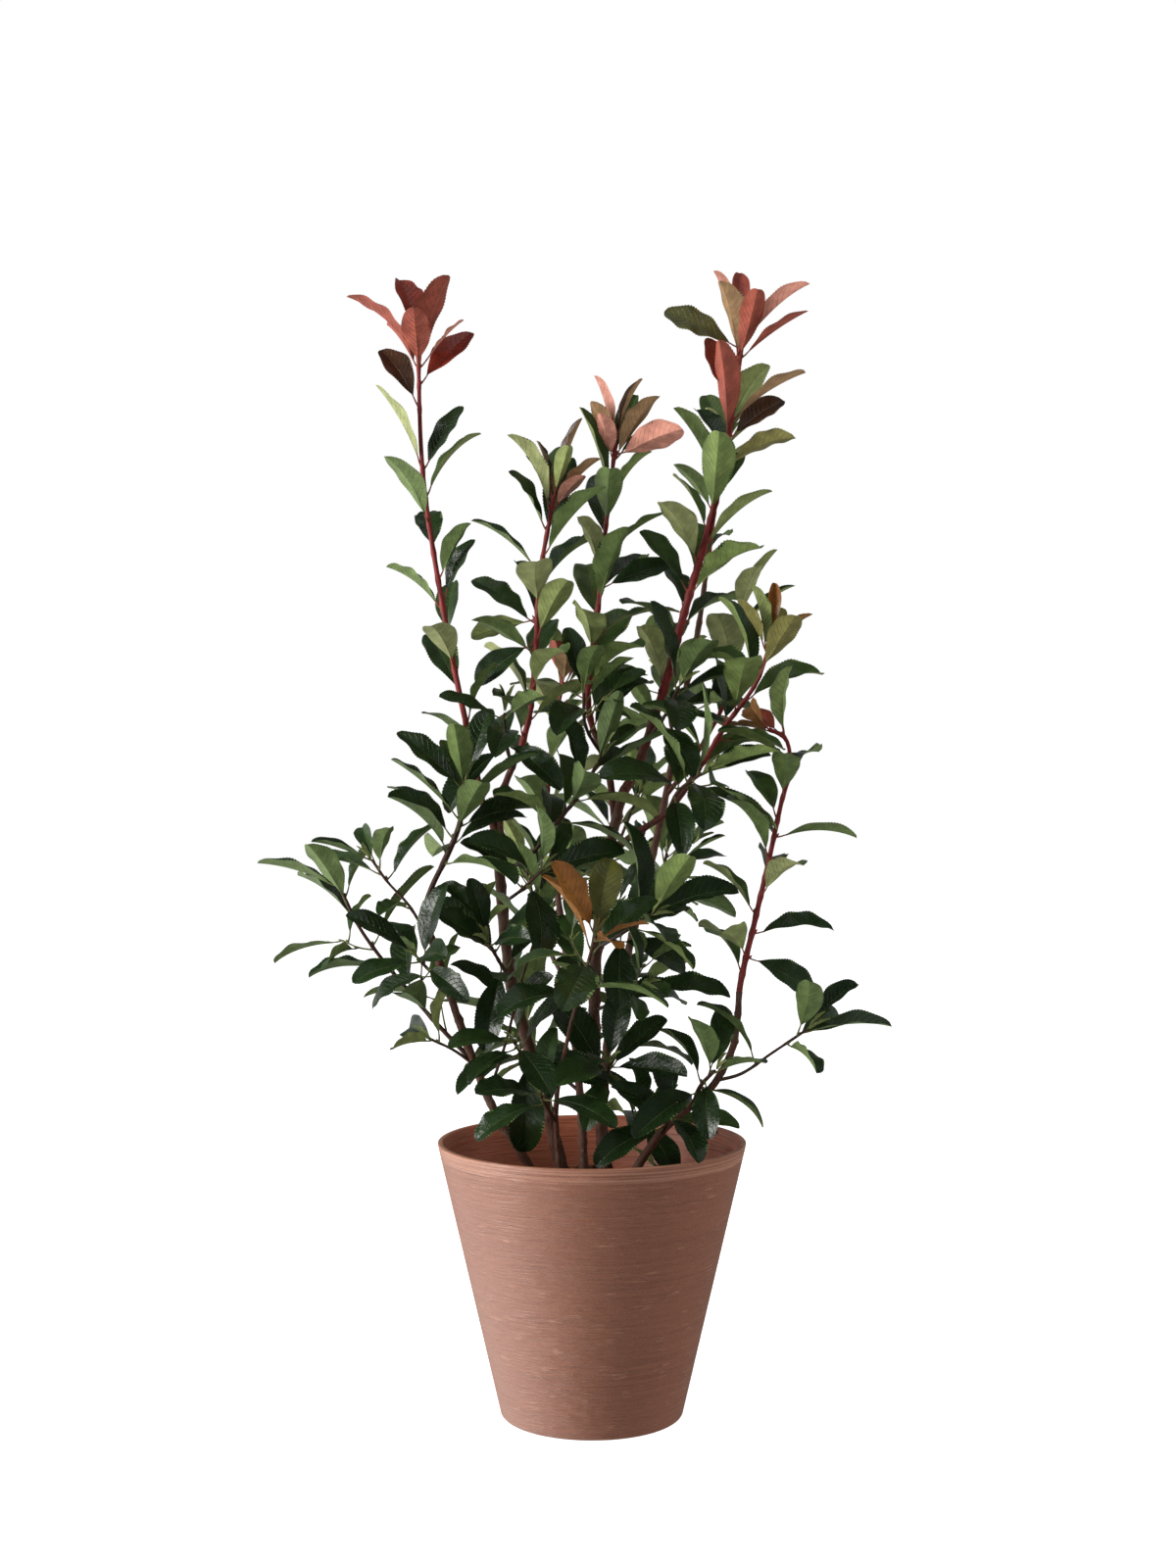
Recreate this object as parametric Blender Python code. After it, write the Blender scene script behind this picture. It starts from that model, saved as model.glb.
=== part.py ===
"""A photinia shrub growing in a round pot, at its real size in metres.

+Z is up, the front faces -Y, and the origin is the middle of the pot's flat underside.
Seven stems rise from the potting soil and boughs leave them. Each limb carries masses of
foliage. A mass is one twig with its side twigs and leaves, fused into one solid. Pieces
that meet keep a gap of 0.3 mm.
"""

import itertools
import math
import random
from collections import namedtuple

import bmesh
import bpy
from mathutils import Vector
from mathutils.bvhtree import BVHTree

GAP = 0.0003

# Pot, a plain cone with a thin wall
POT_HEIGHT = 0.265
POT_RIM_RADIUS = 0.150
POT_BASE_RADIUS = 0.089
POT_WALL = 0.0055
POT_FLOOR = 0.008
POT_FOOT_ROUNDING = 0.004
POT_LIP_ROUNDING = 0.0015
POT_SEGMENTS = 56
SOIL_LEVEL = 0.210

# Limbs and twigs
STEM_SIDES = 8
BOUGH_SIDES = 6
TWIG_SIDES = 4
STEM_STEP = 0.026
TWIG_STEP = 0.030
ROOT_FLARE = 0.35
ROOT_FLARE_HEIGHT = 0.012
TWIG_TAPER = 0.60
SIDE_TWIG_RADIUS = 0.0017
SIDE_TWIG_LEAN = math.radians(48)
SIDE_TWIG_RISE = 0.30
SIDE_TWIGS_UP_TO = 0.85
SIDE_TWIG_PARTS = (0.32, 0.42)
SIDE_TWIG_TURN = 1.10
SIDE_TWIG_LEAVES = 4

# Leaves: sizes are parts of a leaf's length unless they are in metres
PETIOLE = 0.012
PETIOLE_HALF_WIDTH = 0.0006
LEAF_HALF_WIDTH = 0.24
LEAF_HALF_THICKNESS = 0.010
LEAF_FOLD = math.radians(26)
LEAF_STATIONS = ((0.30, 0.88), (0.70, 0.94))
LEAF_CLEARANCE = 0.0013
TIP_BEND = 3
SPREAD_BEND = 1.2
LEAF_FACE_TO_TIP = 0.6
LEAF_FACE_TO_SKY = 0.6
GOLDEN_ANGLE = math.radians(137.5)

# How far leaves stray from the rule to each side: in degrees, and as a part of the length
TURN_SWAY = 26
SPREAD_SWAY = 18
DROOP_SWAY = 8
ROLL_SWAY = 22
LENGTH_SWAY = 0.18

# Other turns in radians, and other sizes, that a leaf tries before it is skipped
TURNS = (0.0, 0.45, -0.45, 0.9, -0.9)
SHRINKS = (1.0, 0.78)

Limb = namedtuple("Limb", "carrier joint_height route radius tip_radius")
Habit = namedtuple("Habit", "bare below_to crown crown_from spreads droops lift tip_length tip_width")
Mass = namedtuple(
    "Mass", "carrier joint_height route radius habit leaves leaf_length phase seed side_twigs"
)
Station = namedtuple("Station", "point direction along")
Twig = namedtuple("Twig", "stations radius tip_radius")
Leaf = namedtuple("Leaf", "root axis face length half_width droop")

# A limb without a carrier is a stem that starts on the soil. Its route then starts there.
# The others leave their carrier's side at the joint height, or its tip where that is None.
LIMBS = {
    "stem_left": Limb(
        None, None,
        [(-0.052, -0.012, SOIL_LEVEL), (-0.095, -0.028, 0.300), (-0.132, -0.040, 0.400),
         (-0.156, -0.048, 0.475)],
        0.0046, 0.0034,
    ),
    "stem_mid_left": Limb(
        None, None,
        [(-0.028, 0.000, SOIL_LEVEL), (-0.044, 0.003, 0.297), (-0.0765, 0.006, 0.407),
         (-0.090, 0.008, 0.5235), (-0.092, 0.010, 0.604)],
        0.0065, 0.0048,
    ),
    "stem_centre": Limb(
        None, None,
        [(0.014, 0.006, SOIL_LEVEL), (0.003, 0.012, 0.345), (0.004, 0.016, 0.440),
         (0.012, 0.020, 0.520), (0.028, 0.022, 0.595)],
        0.0060, 0.0050,
    ),
    "stem_back": Limb(
        None, None,
        [(0.012, 0.040, SOIL_LEVEL), (0.017, 0.055, 0.360), (0.039, 0.070, 0.451),
         (0.061, 0.085, 0.536), (0.074, 0.095, 0.592), (0.093, 0.100, 0.692),
         (0.110, 0.105, 0.775), (0.120, 0.110, 0.845)],
        0.0050, 0.0026,
    ),
    "stem_right": Limb(
        None, None,
        [(0.032, -0.020, SOIL_LEVEL), (0.045, -0.024, 0.245), (0.072, -0.030, 0.283),
         (0.117, -0.035, 0.325), (0.135, -0.035, 0.360), (0.141, -0.035, 0.413)],
        0.0045, 0.0030,
    ),
    "stem_front": Limb(
        None, None,
        [(-0.030, -0.030, SOIL_LEVEL), (-0.0335, -0.050, 0.315), (-0.022, -0.080, 0.378)],
        0.0027, 0.0020,
    ),
    "stem_rear": Limb(
        None, None,
        [(-0.008, 0.055, SOIL_LEVEL), (-0.020, 0.110, 0.380), (-0.045, 0.165, 0.560)],
        0.0045, 0.0030,
    ),
    "bough_left_high": Limb(
        "stem_mid_left", 0.560, [(-0.108, 0.000, 0.599), (-0.112, 0.000, 0.6215)], 0.0034, 0.0031
    ),
    "bough_second": Limb(
        "stem_mid_left", 0.586, [(-0.084, 0.012, 0.614), (-0.071, 0.010, 0.645)], 0.0034, 0.0031
    ),
    "bough_third": Limb(
        "stem_centre", 0.572, [(0.016, 0.028, 0.625), (0.002, 0.030, 0.664)], 0.0036, 0.0031
    ),
    "bough_right_high": Limb(
        "stem_centre", None, [(0.0417, 0.030, 0.6217), (0.065, 0.030, 0.687)], 0.0048, 0.0043
    ),
    "bough_diagonal": Limb(
        "stem_centre", 0.540,
        [(0.0415, 0.005, 0.563), (0.0722, -0.010, 0.5835), (0.0985, -0.020, 0.620)],
        0.0034, 0.0028,
    ),
    "bough_diagonal_back": Limb(
        "stem_back", 0.600, [(0.100, 0.085, 0.632), (0.1227, 0.070, 0.671)], 0.0026, 0.0022
    ),
}

# How leaves sit on a twig. Its lower leaves grow between two parts of its length, bare and
# below_to. The crown is the number of leaves crowded from crown_from to the tip. Spreads are the
# angles between leaf and twig and droops are how far a leaf bends down, in degrees, for the
# lowest leaf and the highest. Lift turns leaves towards the sky. The tip's length and width are
# parts of those of the lowest leaf.
HABITS = {
    "shoot": Habit(0.05, 0.82, 5, 0.93, (56, 30), (40, 14), 0.22, 0.82, 0.75),
    "slim": Habit(0.05, 0.71, 5, 0.94, (46, 30), (34, 16), 0.20, 1.20, 1.1),
    "arch": Habit(0.06, 0.85, 3, 0.93, (60, 46), (42, 28), 0.10, 0.75, 0.9),
    "bunch": Habit(0.35, 0.72, 4, 0.80, (86, 34), (46, 18), 0.18, 0.85, 1.0),
    "spray": Habit(0.28, 0.80, 4, 0.88, (62, 30), (40, 16), 0.25, 0.80, 0.9),
    "wand": Habit(0.45, 0.76, 4, 0.85, (72, 30), (40, 14), 0.15, 0.80, 0.9),
}

# A mass joins its carrier as a limb does. The last values are its habit, the number and length of
# its leaves, the turn of its lowest leaf in degrees, the seed of its sway and its side twigs.
MASSES = {
    "tall_left": Mass(
        "bough_left_high", None,
        [(-0.129, -0.004, 0.701), (-0.148, -0.010, 0.803), (-0.163, -0.016, 0.908),
         (-0.168, -0.020, 1.040)],
        0.0030, "slim", 16, 0.068, 225, 7, 0,
    ),
    "tall_second": Mass(
        "bough_second", None,
        [(-0.0547, 0.008, 0.745), (-0.052, 0.002, 0.803), (-0.0365, -0.010, 0.893)],
        0.0030, "shoot", 18, 0.077, 225, 93, 0,
    ),
    "tall_third": Mass(
        "bough_third", None,
        [(0.0068, 0.025, 0.792), (0.0233, 0.015, 0.948)],
        0.0030, "shoot", 20, 0.076, 30, 118, 0,
    ),
    "tall_right": Mass(
        "bough_right_high", None,
        [(0.093, 0.028, 0.787), (0.110, 0.026, 0.845), (0.127, 0.023, 0.913), (0.148, 0.020, 1.052)],
        0.0042, "shoot", 24, 0.080, 195, 15, 0,
    ),
    "tall_right_back": Mass(
        "stem_back", None, [(0.135, 0.110, 0.960)], 0.0025, "slim", 8, 0.062, 60, 6, 0
    ),
    "back_high": Mass(
        "stem_back", 0.650, [(0.080, 0.122, 0.684), (0.072, 0.136, 0.722)],
        0.0020, "bunch", 8, 0.070, 0, 54, 0,
    ),
    "back_middle": Mass(
        "stem_back", 0.470, [(0.066, 0.104, 0.500), (0.078, 0.128, 0.540)],
        0.0020, "bunch", 8, 0.072, 255, 13, 0,
    ),
    "diagonal_right": Mass(
        "bough_diagonal", None,
        [(0.129, -0.028, 0.669), (0.158, -0.035, 0.710), (0.169, -0.040, 0.742)],
        0.0027, "shoot", 13, 0.078, 60, 114, 0,
    ),
    "diagonal_back": Mass(
        "bough_diagonal_back", None,
        [(0.1396, 0.060, 0.711), (0.148, 0.050, 0.780)],
        0.0021, "shoot", 8, 0.074, 75, 5, 0,
    ),
    "right_arch": Mass(
        "stem_right", None,
        [(0.153, -0.035, 0.4685), (0.167, -0.035, 0.5285), (0.181, -0.035, 0.593),
         (0.190, -0.035, 0.634), (0.184, -0.035, 0.657), (0.169, -0.035, 0.6645)],
        0.0030, "arch", 15, 0.078, 120, 48, 0,
    ),
    "right_low": Mass(
        "stem_right", 0.328,
        [(0.141, -0.050, 0.3365), (0.170, -0.056, 0.357), (0.203, -0.060, 0.380)],
        0.0018, "wand", 6, 0.080, 135, 17, 0,
    ),
    "right_low_front": Mass(
        "stem_right", 0.305, [(0.104, -0.052, 0.327), (0.116, -0.064, 0.342)],
        0.0022, "bunch", 8, 0.076, 210, 46, 0,
    ),
    "left_up": Mass(
        "stem_left", None,
        [(-0.158, -0.050, 0.494), (-0.1415, -0.050, 0.536), (-0.125, -0.050, 0.577),
         (-0.121, -0.050, 0.612)],
        0.0030, "wand", 12, 0.077, 330, 60, 0,
    ),
    "left_out": Mass(
        "stem_left", 0.452,
        [(-0.174, -0.060, 0.4985), (-0.194, -0.063, 0.521), (-0.207, -0.065, 0.540)],
        0.0018, "wand", 6, 0.062, 240, 128, 0,
    ),
    "left_middle": Mass(
        "stem_left", 0.425, [(-0.152, -0.070, 0.436), (-0.162, -0.088, 0.450)],
        0.0018, "bunch", 6, 0.070, 150, 62, 0,
    ),
    "left_low": Mass(
        "stem_left", 0.345,
        [(-0.149, -0.030, 0.382), (-0.1825, -0.035, 0.422), (-0.222, -0.040, 0.475),
         (-0.243, -0.045, 0.520)],
        0.0024, "spray", 9, 0.078, 285, 111, 0,
    ),
    "left_base": Mass(
        "stem_left", 0.342, [(-0.134, -0.040, 0.359), (-0.152, -0.044, 0.368)],
        0.0018, "wand", 4, 0.064, 345, 37, 0,
    ),
    "front": Mass(
        "stem_front", None, [(-0.010, -0.105, 0.424), (0.003, -0.130, 0.474)],
        0.0020, "bunch", 8, 0.080, 195, 111, 0,
    ),
    "thin_middle": Mass(
        "stem_left", 0.312,
        [(-0.083, -0.030, 0.363), (-0.067, -0.028, 0.425), (-0.057, -0.026, 0.457),
         (-0.049, -0.025, 0.494)],
        0.0016, "wand", 7, 0.070, 120, 94, 0,
    ),
    "diagonal_middle": Mass(
        "stem_mid_left", 0.525,
        [(-0.059, -0.030, 0.544), (-0.036, -0.032, 0.572), (-0.010, -0.030, 0.605),
         (0.009, -0.020, 0.638)],
        0.0024, "wand", 11, 0.074, 90, 118, 0,
    ),
    "middle_left": Mass(
        "stem_mid_left", 0.420, [(-0.088, -0.030, 0.440), (-0.098, -0.055, 0.462)],
        0.0022, "bunch", 9, 0.076, 60, 98, 0,
    ),
    "middle_centre": Mass(
        "stem_mid_left", 0.495, [(-0.066, -0.038, 0.512), (-0.048, -0.058, 0.530)],
        0.0020, "bunch", 8, 0.074, 255, 105, 0,
    ),
    "low_left": Mass(
        "stem_mid_left", 0.345, [(-0.066, -0.030, 0.352), (-0.074, -0.056, 0.368)],
        0.0022, "bunch", 9, 0.078, 195, 103, 0,
    ),
    "low_front": Mass(
        "stem_front", 0.290, [(-0.042, -0.060, 0.306), (-0.048, -0.072, 0.320)],
        0.0018, "bunch", 6, 0.076, 60, 120, 0,
    ),
    "low_centre": Mass(
        "stem_centre", 0.315, [(0.014, -0.022, 0.330), (0.016, -0.050, 0.346)],
        0.0022, "bunch", 8, 0.072, 345, 123, 0,
    ),
    "low_right": Mass(
        "stem_right", 0.275, [(0.072, -0.046, 0.290), (0.072, -0.060, 0.300)],
        0.0020, "bunch", 6, 0.062, 195, 105, 0,
    ),
    "pot_low": Mass(
        "stem_centre", 0.250, [(0.036, 0.022, 0.268), (0.056, 0.030, 0.288)],
        0.0020, "bunch", 7, 0.062, 330, 124, 0,
    ),
    "centre_right": Mass(
        "stem_centre", 0.450, [(0.028, -0.025, 0.468), (0.056, -0.058, 0.488)],
        0.0022, "bunch", 10, 0.080, 345, 99, 0,
    ),
    "centre_low": Mass(
        "stem_centre", 0.390, [(0.026, -0.016, 0.402), (0.046, -0.040, 0.418)],
        0.0020, "bunch", 8, 0.078, 15, 101, 0,
    ),
    "upper_left": Mass(
        "bough_second", 0.628, [(-0.083, -0.014, 0.652), (-0.084, -0.030, 0.680)],
        0.0020, "bunch", 9, 0.078, 60, 20, 0,
    ),
    "upper_centre": Mass(
        "bough_third", 0.640, [(-0.006, -0.002, 0.668), (-0.008, -0.022, 0.700)],
        0.0020, "bunch", 9, 0.076, 285, 75, 0,
    ),
    "upper_right": Mass(
        "bough_right_high", 0.655, [(0.072, 0.004, 0.680), (0.084, -0.016, 0.706)],
        0.0020, "bunch", 9, 0.078, 285, 91, 0,
    ),
    "diagonal_low": Mass(
        "bough_diagonal", 0.584, [(0.084, -0.034, 0.606), (0.104, -0.050, 0.622)],
        0.0020, "bunch", 9, 0.082, 285, 91, 0,
    ),
    "rear_left": Mass(
        "stem_rear", 0.400, [(-0.050, 0.145, 0.450), (-0.068, 0.162, 0.520)],
        0.0024, "spray", 10, 0.074, 300, 96, 1,
    ),
    "rear_middle": Mass(
        "stem_rear", None, [(-0.044, 0.172, 0.640), (-0.030, 0.165, 0.720)],
        0.0026, "shoot", 12, 0.078, 255, 65, 0,
    ),
    "rear_right": Mass(
        "stem_rear", 0.450, [(0.010, 0.165, 0.510), (0.050, 0.185, 0.600)],
        0.0024, "spray", 10, 0.074, 45, 113, 1,
    ),
    "rear_low_left": Mass(
        "stem_rear", 0.300, [(-0.050, 0.105, 0.330), (-0.078, 0.125, 0.372)],
        0.0020, "bunch", 8, 0.078, 105, 123, 0,
    ),
    "rear_low_right": Mass(
        "stem_back", 0.320, [(0.030, 0.085, 0.350), (0.038, 0.115, 0.400)],
        0.0020, "bunch", 7, 0.070, 0, 100, 0,
    ),
}


def clear_scene():
    for obj in list(bpy.data.objects):
        bpy.data.objects.remove(obj, do_unlink=True)


def material(name, colour, roughness):
    made = bpy.data.materials.new(name)
    made.use_nodes = True
    shader = made.node_tree.nodes["Principled BSDF"]
    shader.inputs["Base Color"].default_value = (*colour, 1.0)
    shader.inputs["Roughness"].default_value = roughness
    shader.inputs["Metallic"].default_value = 0.0
    return made


def mesh_object(name, points, faces, finish=None):
    mesh = bpy.data.meshes.new(name)
    mesh.from_pydata(points, [], faces)
    mesh.validate()
    if finish:
        mesh.materials.append(finish)
    made = bpy.data.objects.new(name, mesh)
    bpy.context.scene.collection.objects.link(made)
    return made


def blend(start, end, part):
    return start + (end - start) * part


# Turned pieces


def turned(name, profile, finish):
    """A solid turned about Z from a profile that runs from the axis below to the axis above."""
    bottom, *rings, top = profile
    points = [(0.0, 0.0, bottom[1])]
    for radius, height in rings:
        for i in range(POT_SEGMENTS):
            angle = 2 * math.pi * i / POT_SEGMENTS
            points.append((radius * math.cos(angle), radius * math.sin(angle), height))
    points.append((0.0, 0.0, top[1]))
    faces = []
    last_ring = 1 + (len(rings) - 1) * POT_SEGMENTS
    for i in range(POT_SEGMENTS):
        j = (i + 1) % POT_SEGMENTS
        faces.append((0, 1 + j, 1 + i))
        faces.append((last_ring + i, last_ring + j, len(points) - 1))
        for k in range(len(rings) - 1):
            low = 1 + k * POT_SEGMENTS
            high = low + POT_SEGMENTS
            faces.append((low + i, low + j, high + j, high + i))
    made = mesh_object(name, points, faces, finish)
    made.data.shade_smooth()
    made.data.set_sharp_from_angle(angle=math.radians(35))
    return made


def rounding(centre, radius, start_degrees, end_degrees, steps):
    """Points of an arc in the profile's plane."""
    arc = []
    for i in range(steps + 1):
        angle = math.radians(blend(start_degrees, end_degrees, i / steps))
        arc.append((centre[0] + radius * math.cos(angle), centre[1] + radius * math.sin(angle)))
    return arc


def inner_radius(height):
    """The radius of the pot's inner wall at a height."""
    outer = blend(POT_BASE_RADIUS, POT_RIM_RADIUS, height / POT_HEIGHT)
    return outer - POT_WALL


def build_pot():
    foot_centre = (POT_BASE_RADIUS - POT_FOOT_ROUNDING, POT_FOOT_ROUNDING)
    lip_height = POT_HEIGHT - POT_LIP_ROUNDING
    outer_lip = (POT_RIM_RADIUS - POT_LIP_ROUNDING, lip_height)
    inner_lip = (POT_RIM_RADIUS - POT_WALL + POT_LIP_ROUNDING, lip_height)
    profile = [(0.0, 0.0)]
    profile += rounding(foot_centre, POT_FOOT_ROUNDING, -90, -10, 3)
    profile += rounding(outer_lip, POT_LIP_ROUNDING, 0, 90, 2)
    profile += rounding(inner_lip, POT_LIP_ROUNDING, 90, 180, 2)
    profile += [(inner_radius(POT_FLOOR), POT_FLOOR), (0.0, POT_FLOOR)]
    finish = material("pot", (0.23, 0.105, 0.072), 0.62)
    turned("pot", profile, finish)


def build_soil():
    bottom = POT_FLOOR + GAP
    profile = [
        (0.0, bottom),
        (inner_radius(bottom) - GAP, bottom),
        (inner_radius(SOIL_LEVEL) - GAP, SOIL_LEVEL),
        (0.0, SOIL_LEVEL),
    ]
    turned("soil", profile, material("soil", (0.030, 0.020, 0.014), 0.95))


# Routes and tubes


def smooth_route(points, step, first_direction=None):
    """Stations about a step apart on the smooth curve through the points."""
    spans = [(b - a).length for a, b in zip(points, points[1:])]
    ways = [(b - a) / span for a, b, span in zip(points, points[1:], spans)]
    slopes = [first_direction or ways[0]]
    for i in range(1, len(ways)):
        mixed = ways[i - 1] * spans[i] + ways[i] * spans[i - 1]
        slopes.append(mixed / (spans[i - 1] + spans[i]))
    slopes.append(ways[-1])
    found = []
    for i, span in enumerate(spans):
        count = max(1, round(span / step))
        last = i == len(spans) - 1
        ends = (points[i], points[i + 1], slopes[i] * span, slopes[i + 1] * span)
        for k in range(count + last):
            found.append(curve_point(*ends, k / count))
    lengths = [0.0]
    for (a, _), (b, _) in zip(found, found[1:]):
        lengths.append(lengths[-1] + (b - a).length)
    return [
        Station(point, direction.normalized(), length / lengths[-1])
        for (point, direction), length in zip(found, lengths)
    ]


def curve_point(start, end, start_slope, end_slope, t):
    """A point of the cubic between two points and its direction there."""
    point = (
        start * (2 * t**3 - 3 * t**2 + 1)
        + start_slope * (t**3 - 2 * t**2 + t)
        + end * (3 * t**2 - 2 * t**3)
        + end_slope * (t**3 - t**2)
    )
    direction = (
        start * (6 * t**2 - 6 * t)
        + start_slope * (3 * t**2 - 4 * t + 1)
        + end * (6 * t - 6 * t**2)
        + end_slope * (3 * t**2 - 2 * t)
    )
    return point, direction


def route_length(stations):
    return sum((b.point - a.point).length for a, b in zip(stations, stations[1:]))


def station_at(stations, along):
    """The station at a fraction of the length, between the two nearest ones."""
    for low, high in zip(stations, stations[1:]):
        if along <= high.along:
            part = (along - low.along) / (high.along - low.along)
            direction = low.direction.lerp(high.direction, part).normalized()
            return Station(low.point.lerp(high.point, part), direction, along)
    return stations[-1]


def point_at_height(stations, height):
    for low, high in zip(stations, stations[1:]):
        if low.point.z <= height <= high.point.z:
            part = (height - low.point.z) / (high.point.z - low.point.z)
            return low.point.lerp(high.point, part)
    raise ValueError(f"no point of the limb is {height} m high")


def side_direction(direction):
    """A direction square to another, the same for like directions."""
    start = Vector((1.0, 0.0, 0.0)) if abs(direction.x) < 0.9 else Vector((0.0, 1.0, 0.0))
    return (start - direction * start.dot(direction)).normalized()


def tube_shape(stations, radii, sides):
    """Points and faces of a closed tube along the stations."""
    points = []
    across = side_direction(stations[0].direction)
    for station, radius in zip(stations, radii):
        across = (across - station.direction * across.dot(station.direction)).normalized()
        other = station.direction.cross(across)
        for i in range(sides):
            angle = 2 * math.pi * i / sides
            points.append(station.point + radius * (math.cos(angle) * across + math.sin(angle) * other))
    faces = [tuple(reversed(range(sides)))]
    for k in range(len(stations) - 1):
        low = k * sides
        high = low + sides
        for i in range(sides):
            j = (i + 1) % sides
            faces.append((low + i, low + j, high + j, high + i))
    faces.append(tuple(range(len(points) - sides, len(points))))
    return points, faces


def limb_radii(limb, stations, extra=0.0):
    radii = []
    for station in stations:
        radius = blend(limb.radius, limb.tip_radius, station.along)
        if not limb.carrier:
            height = station.point.z - stations[0].point.z
            radius *= 1 + ROOT_FLARE * math.exp(-height / ROOT_FLARE_HEIGHT)
        radii.append(radius + extra)
    return radii


def twig_shape(twig, swell=0.0):
    radii = [blend(twig.radius, twig.tip_radius, station.along) + swell for station in twig.stations]
    return tube_shape(twig.stations, radii, TWIG_SIDES)


def joined_route(carrier, joint_height, route, step):
    """Stations of a limb or twig that starts at its carrier's tip, or on the axis of its carrier."""
    points = [Vector(point) for point in route]
    if joint_height is None:
        tip = carrier[-1]
        points.insert(0, tip.point + tip.direction * GAP)
        return smooth_route(points, step, tip.direction)
    points.insert(0, point_at_height(carrier, joint_height))
    return smooth_route(points, step)


def limb_sides(name):
    return BOUGH_SIDES if LIMBS[name].carrier else STEM_SIDES


def plan_limbs():
    """The stations of every limb, by name."""
    routes = {}
    for name, limb in LIMBS.items():
        if limb.carrier:
            routes[name] = joined_route(routes[limb.carrier], limb.joint_height, limb.route, STEM_STEP)
        else:
            points = [Vector(point) for point in limb.route]
            points[0].z += GAP
            routes[name] = smooth_route(points, STEM_STEP, Vector((0.0, 0.0, 1.0)))
    return routes


# Leaves


def leaf_frame(leaf, t):
    """The midrib's point, and the directions along it and out of its upper face, at a part of the blade."""
    start = leaf.root + leaf.axis * PETIOLE
    angle = leaf.droop * t
    reach = leaf.length / leaf.droop
    point = start + leaf.axis * (reach * math.sin(angle)) - leaf.face * (reach * (1 - math.cos(angle)))
    along = leaf.axis * math.cos(angle) - leaf.face * math.sin(angle)
    up = leaf.axis * math.sin(angle) + leaf.face * math.cos(angle)
    return point, along, up


def leaf_shape(leaf, swell=0.0, with_petiole=True):
    """Points and faces of a leaf with a four-sided section, folded up along its midrib."""
    across = leaf.axis.cross(leaf.face)
    rings = []
    stalk = PETIOLE_HALF_WIDTH + swell
    if with_petiole:
        rings.append((leaf.root, leaf.face, stalk, stalk, 0.0))
    start, _, up = leaf_frame(leaf, 0.0)
    rings.append((start, up, stalk, stalk, 0.0))
    for t, width in LEAF_STATIONS:
        point, _, up = leaf_frame(leaf, t)
        half_width = leaf.half_width * leaf.length * width + swell
        rings.append((point, up, half_width, LEAF_HALF_THICKNESS * leaf.length + swell, LEAF_FOLD))
    points = []
    for point, up, half_width, half_height, fold in rings:
        rise = up * (half_width * math.sin(fold))
        reach = across * (half_width * math.cos(fold))
        middle = up * half_height
        points += [point + reach + rise, point + middle, point - reach + rise, point - middle]
    tip, along, _ = leaf_frame(leaf, 1.0)
    points.append(tip + along * swell)
    faces = [(0, 1, 2), (0, 2, 3)]
    for k in range(len(rings) - 1):
        low = 4 * k
        for i in range(4):
            j = (i + 1) % 4
            faces += [(low + i, low + 4 + i, low + j), (low + j, low + 4 + i, low + 4 + j)]
    last = 4 * (len(rings) - 1)
    for i in range(4):
        faces.append((last + i, len(points) - 1, last + (i + 1) % 4))
    return points, faces


def tree_of(shape):
    points, faces = shape
    return BVHTree.FromPolygons(points, faces)


def blocked(shape, obstacles):
    tree = tree_of(shape)
    return any(tree.overlap(other) for other in obstacles)


def leaf_on(twig, along, turn, spread, lift, roll, length, half_width, droop):
    """A leaf that leaves its twig at a turn about it and a spread from it, and faces the light."""
    station = station_at(twig.stations, along)
    side = side_direction(station.direction)
    outward = side * math.cos(turn) + station.direction.cross(side) * math.sin(turn)
    up = Vector((0.0, 0.0, 1.0))
    axis = station.direction * math.cos(spread) + outward * math.sin(spread) + up * lift
    axis.normalize()
    face = station.direction * LEAF_FACE_TO_TIP + up * LEAF_FACE_TO_SKY
    face = (face - axis * face.dot(axis)).normalized()
    face = face * math.cos(roll) + axis.cross(face) * math.sin(roll)
    return Leaf(station.point, axis, face, length, half_width, droop)


def leaf_places(habit, count):
    """How far along its twig each leaf grows, evenly below the crown and crowded in it."""
    crown = min(habit.crown, count)
    below = count - crown
    places = [blend(habit.bare, habit.below_to, k / max(1, below - 1)) for k in range(below)]
    return places + [blend(habit.crown_from, 1.0, k / max(1, crown - 1)) for k in range(crown)]


def grow_leaves(twig, mass, count, phase, chance, obstacles, own_twigs):
    """Leaves in a spiral up a twig. One that would touch something turns or is skipped."""
    habit = HABITS[mass.habit]
    leaves = []
    for i, along in enumerate(leaf_places(habit, count)):
        part = i / max(1, count - 1)
        turn = phase + i * GOLDEN_ANGLE + math.radians(chance.uniform(-TURN_SWAY, TURN_SWAY))
        spread = blend(*habit.spreads, part**SPREAD_BEND) + chance.uniform(-SPREAD_SWAY, SPREAD_SWAY)
        droop = blend(*habit.droops, part) + chance.uniform(-DROOP_SWAY, DROOP_SWAY)
        length = mass.leaf_length * blend(1.0, habit.tip_length, part**TIP_BEND)
        length *= chance.uniform(1 - LENGTH_SWAY, 1 + LENGTH_SWAY)
        half_width = LEAF_HALF_WIDTH * blend(1.0, habit.tip_width, part**TIP_BEND)
        roll = chance.uniform(-ROLL_SWAY, ROLL_SWAY)
        for shrink, extra in itertools.product(SHRINKS, TURNS):
            leaf = leaf_on(
                twig, along, turn + extra, math.radians(spread), habit.lift, math.radians(roll),
                length * shrink, half_width, math.radians(droop),
            )
            if blocked(leaf_shape(leaf, LEAF_CLEARANCE, with_petiole=False), own_twigs):
                continue
            if blocked(leaf_shape(leaf, LEAF_CLEARANCE), obstacles):
                continue
            leaves.append(leaf)
            obstacles.append(tree_of(leaf_shape(leaf)))
            break
    return leaves


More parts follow.
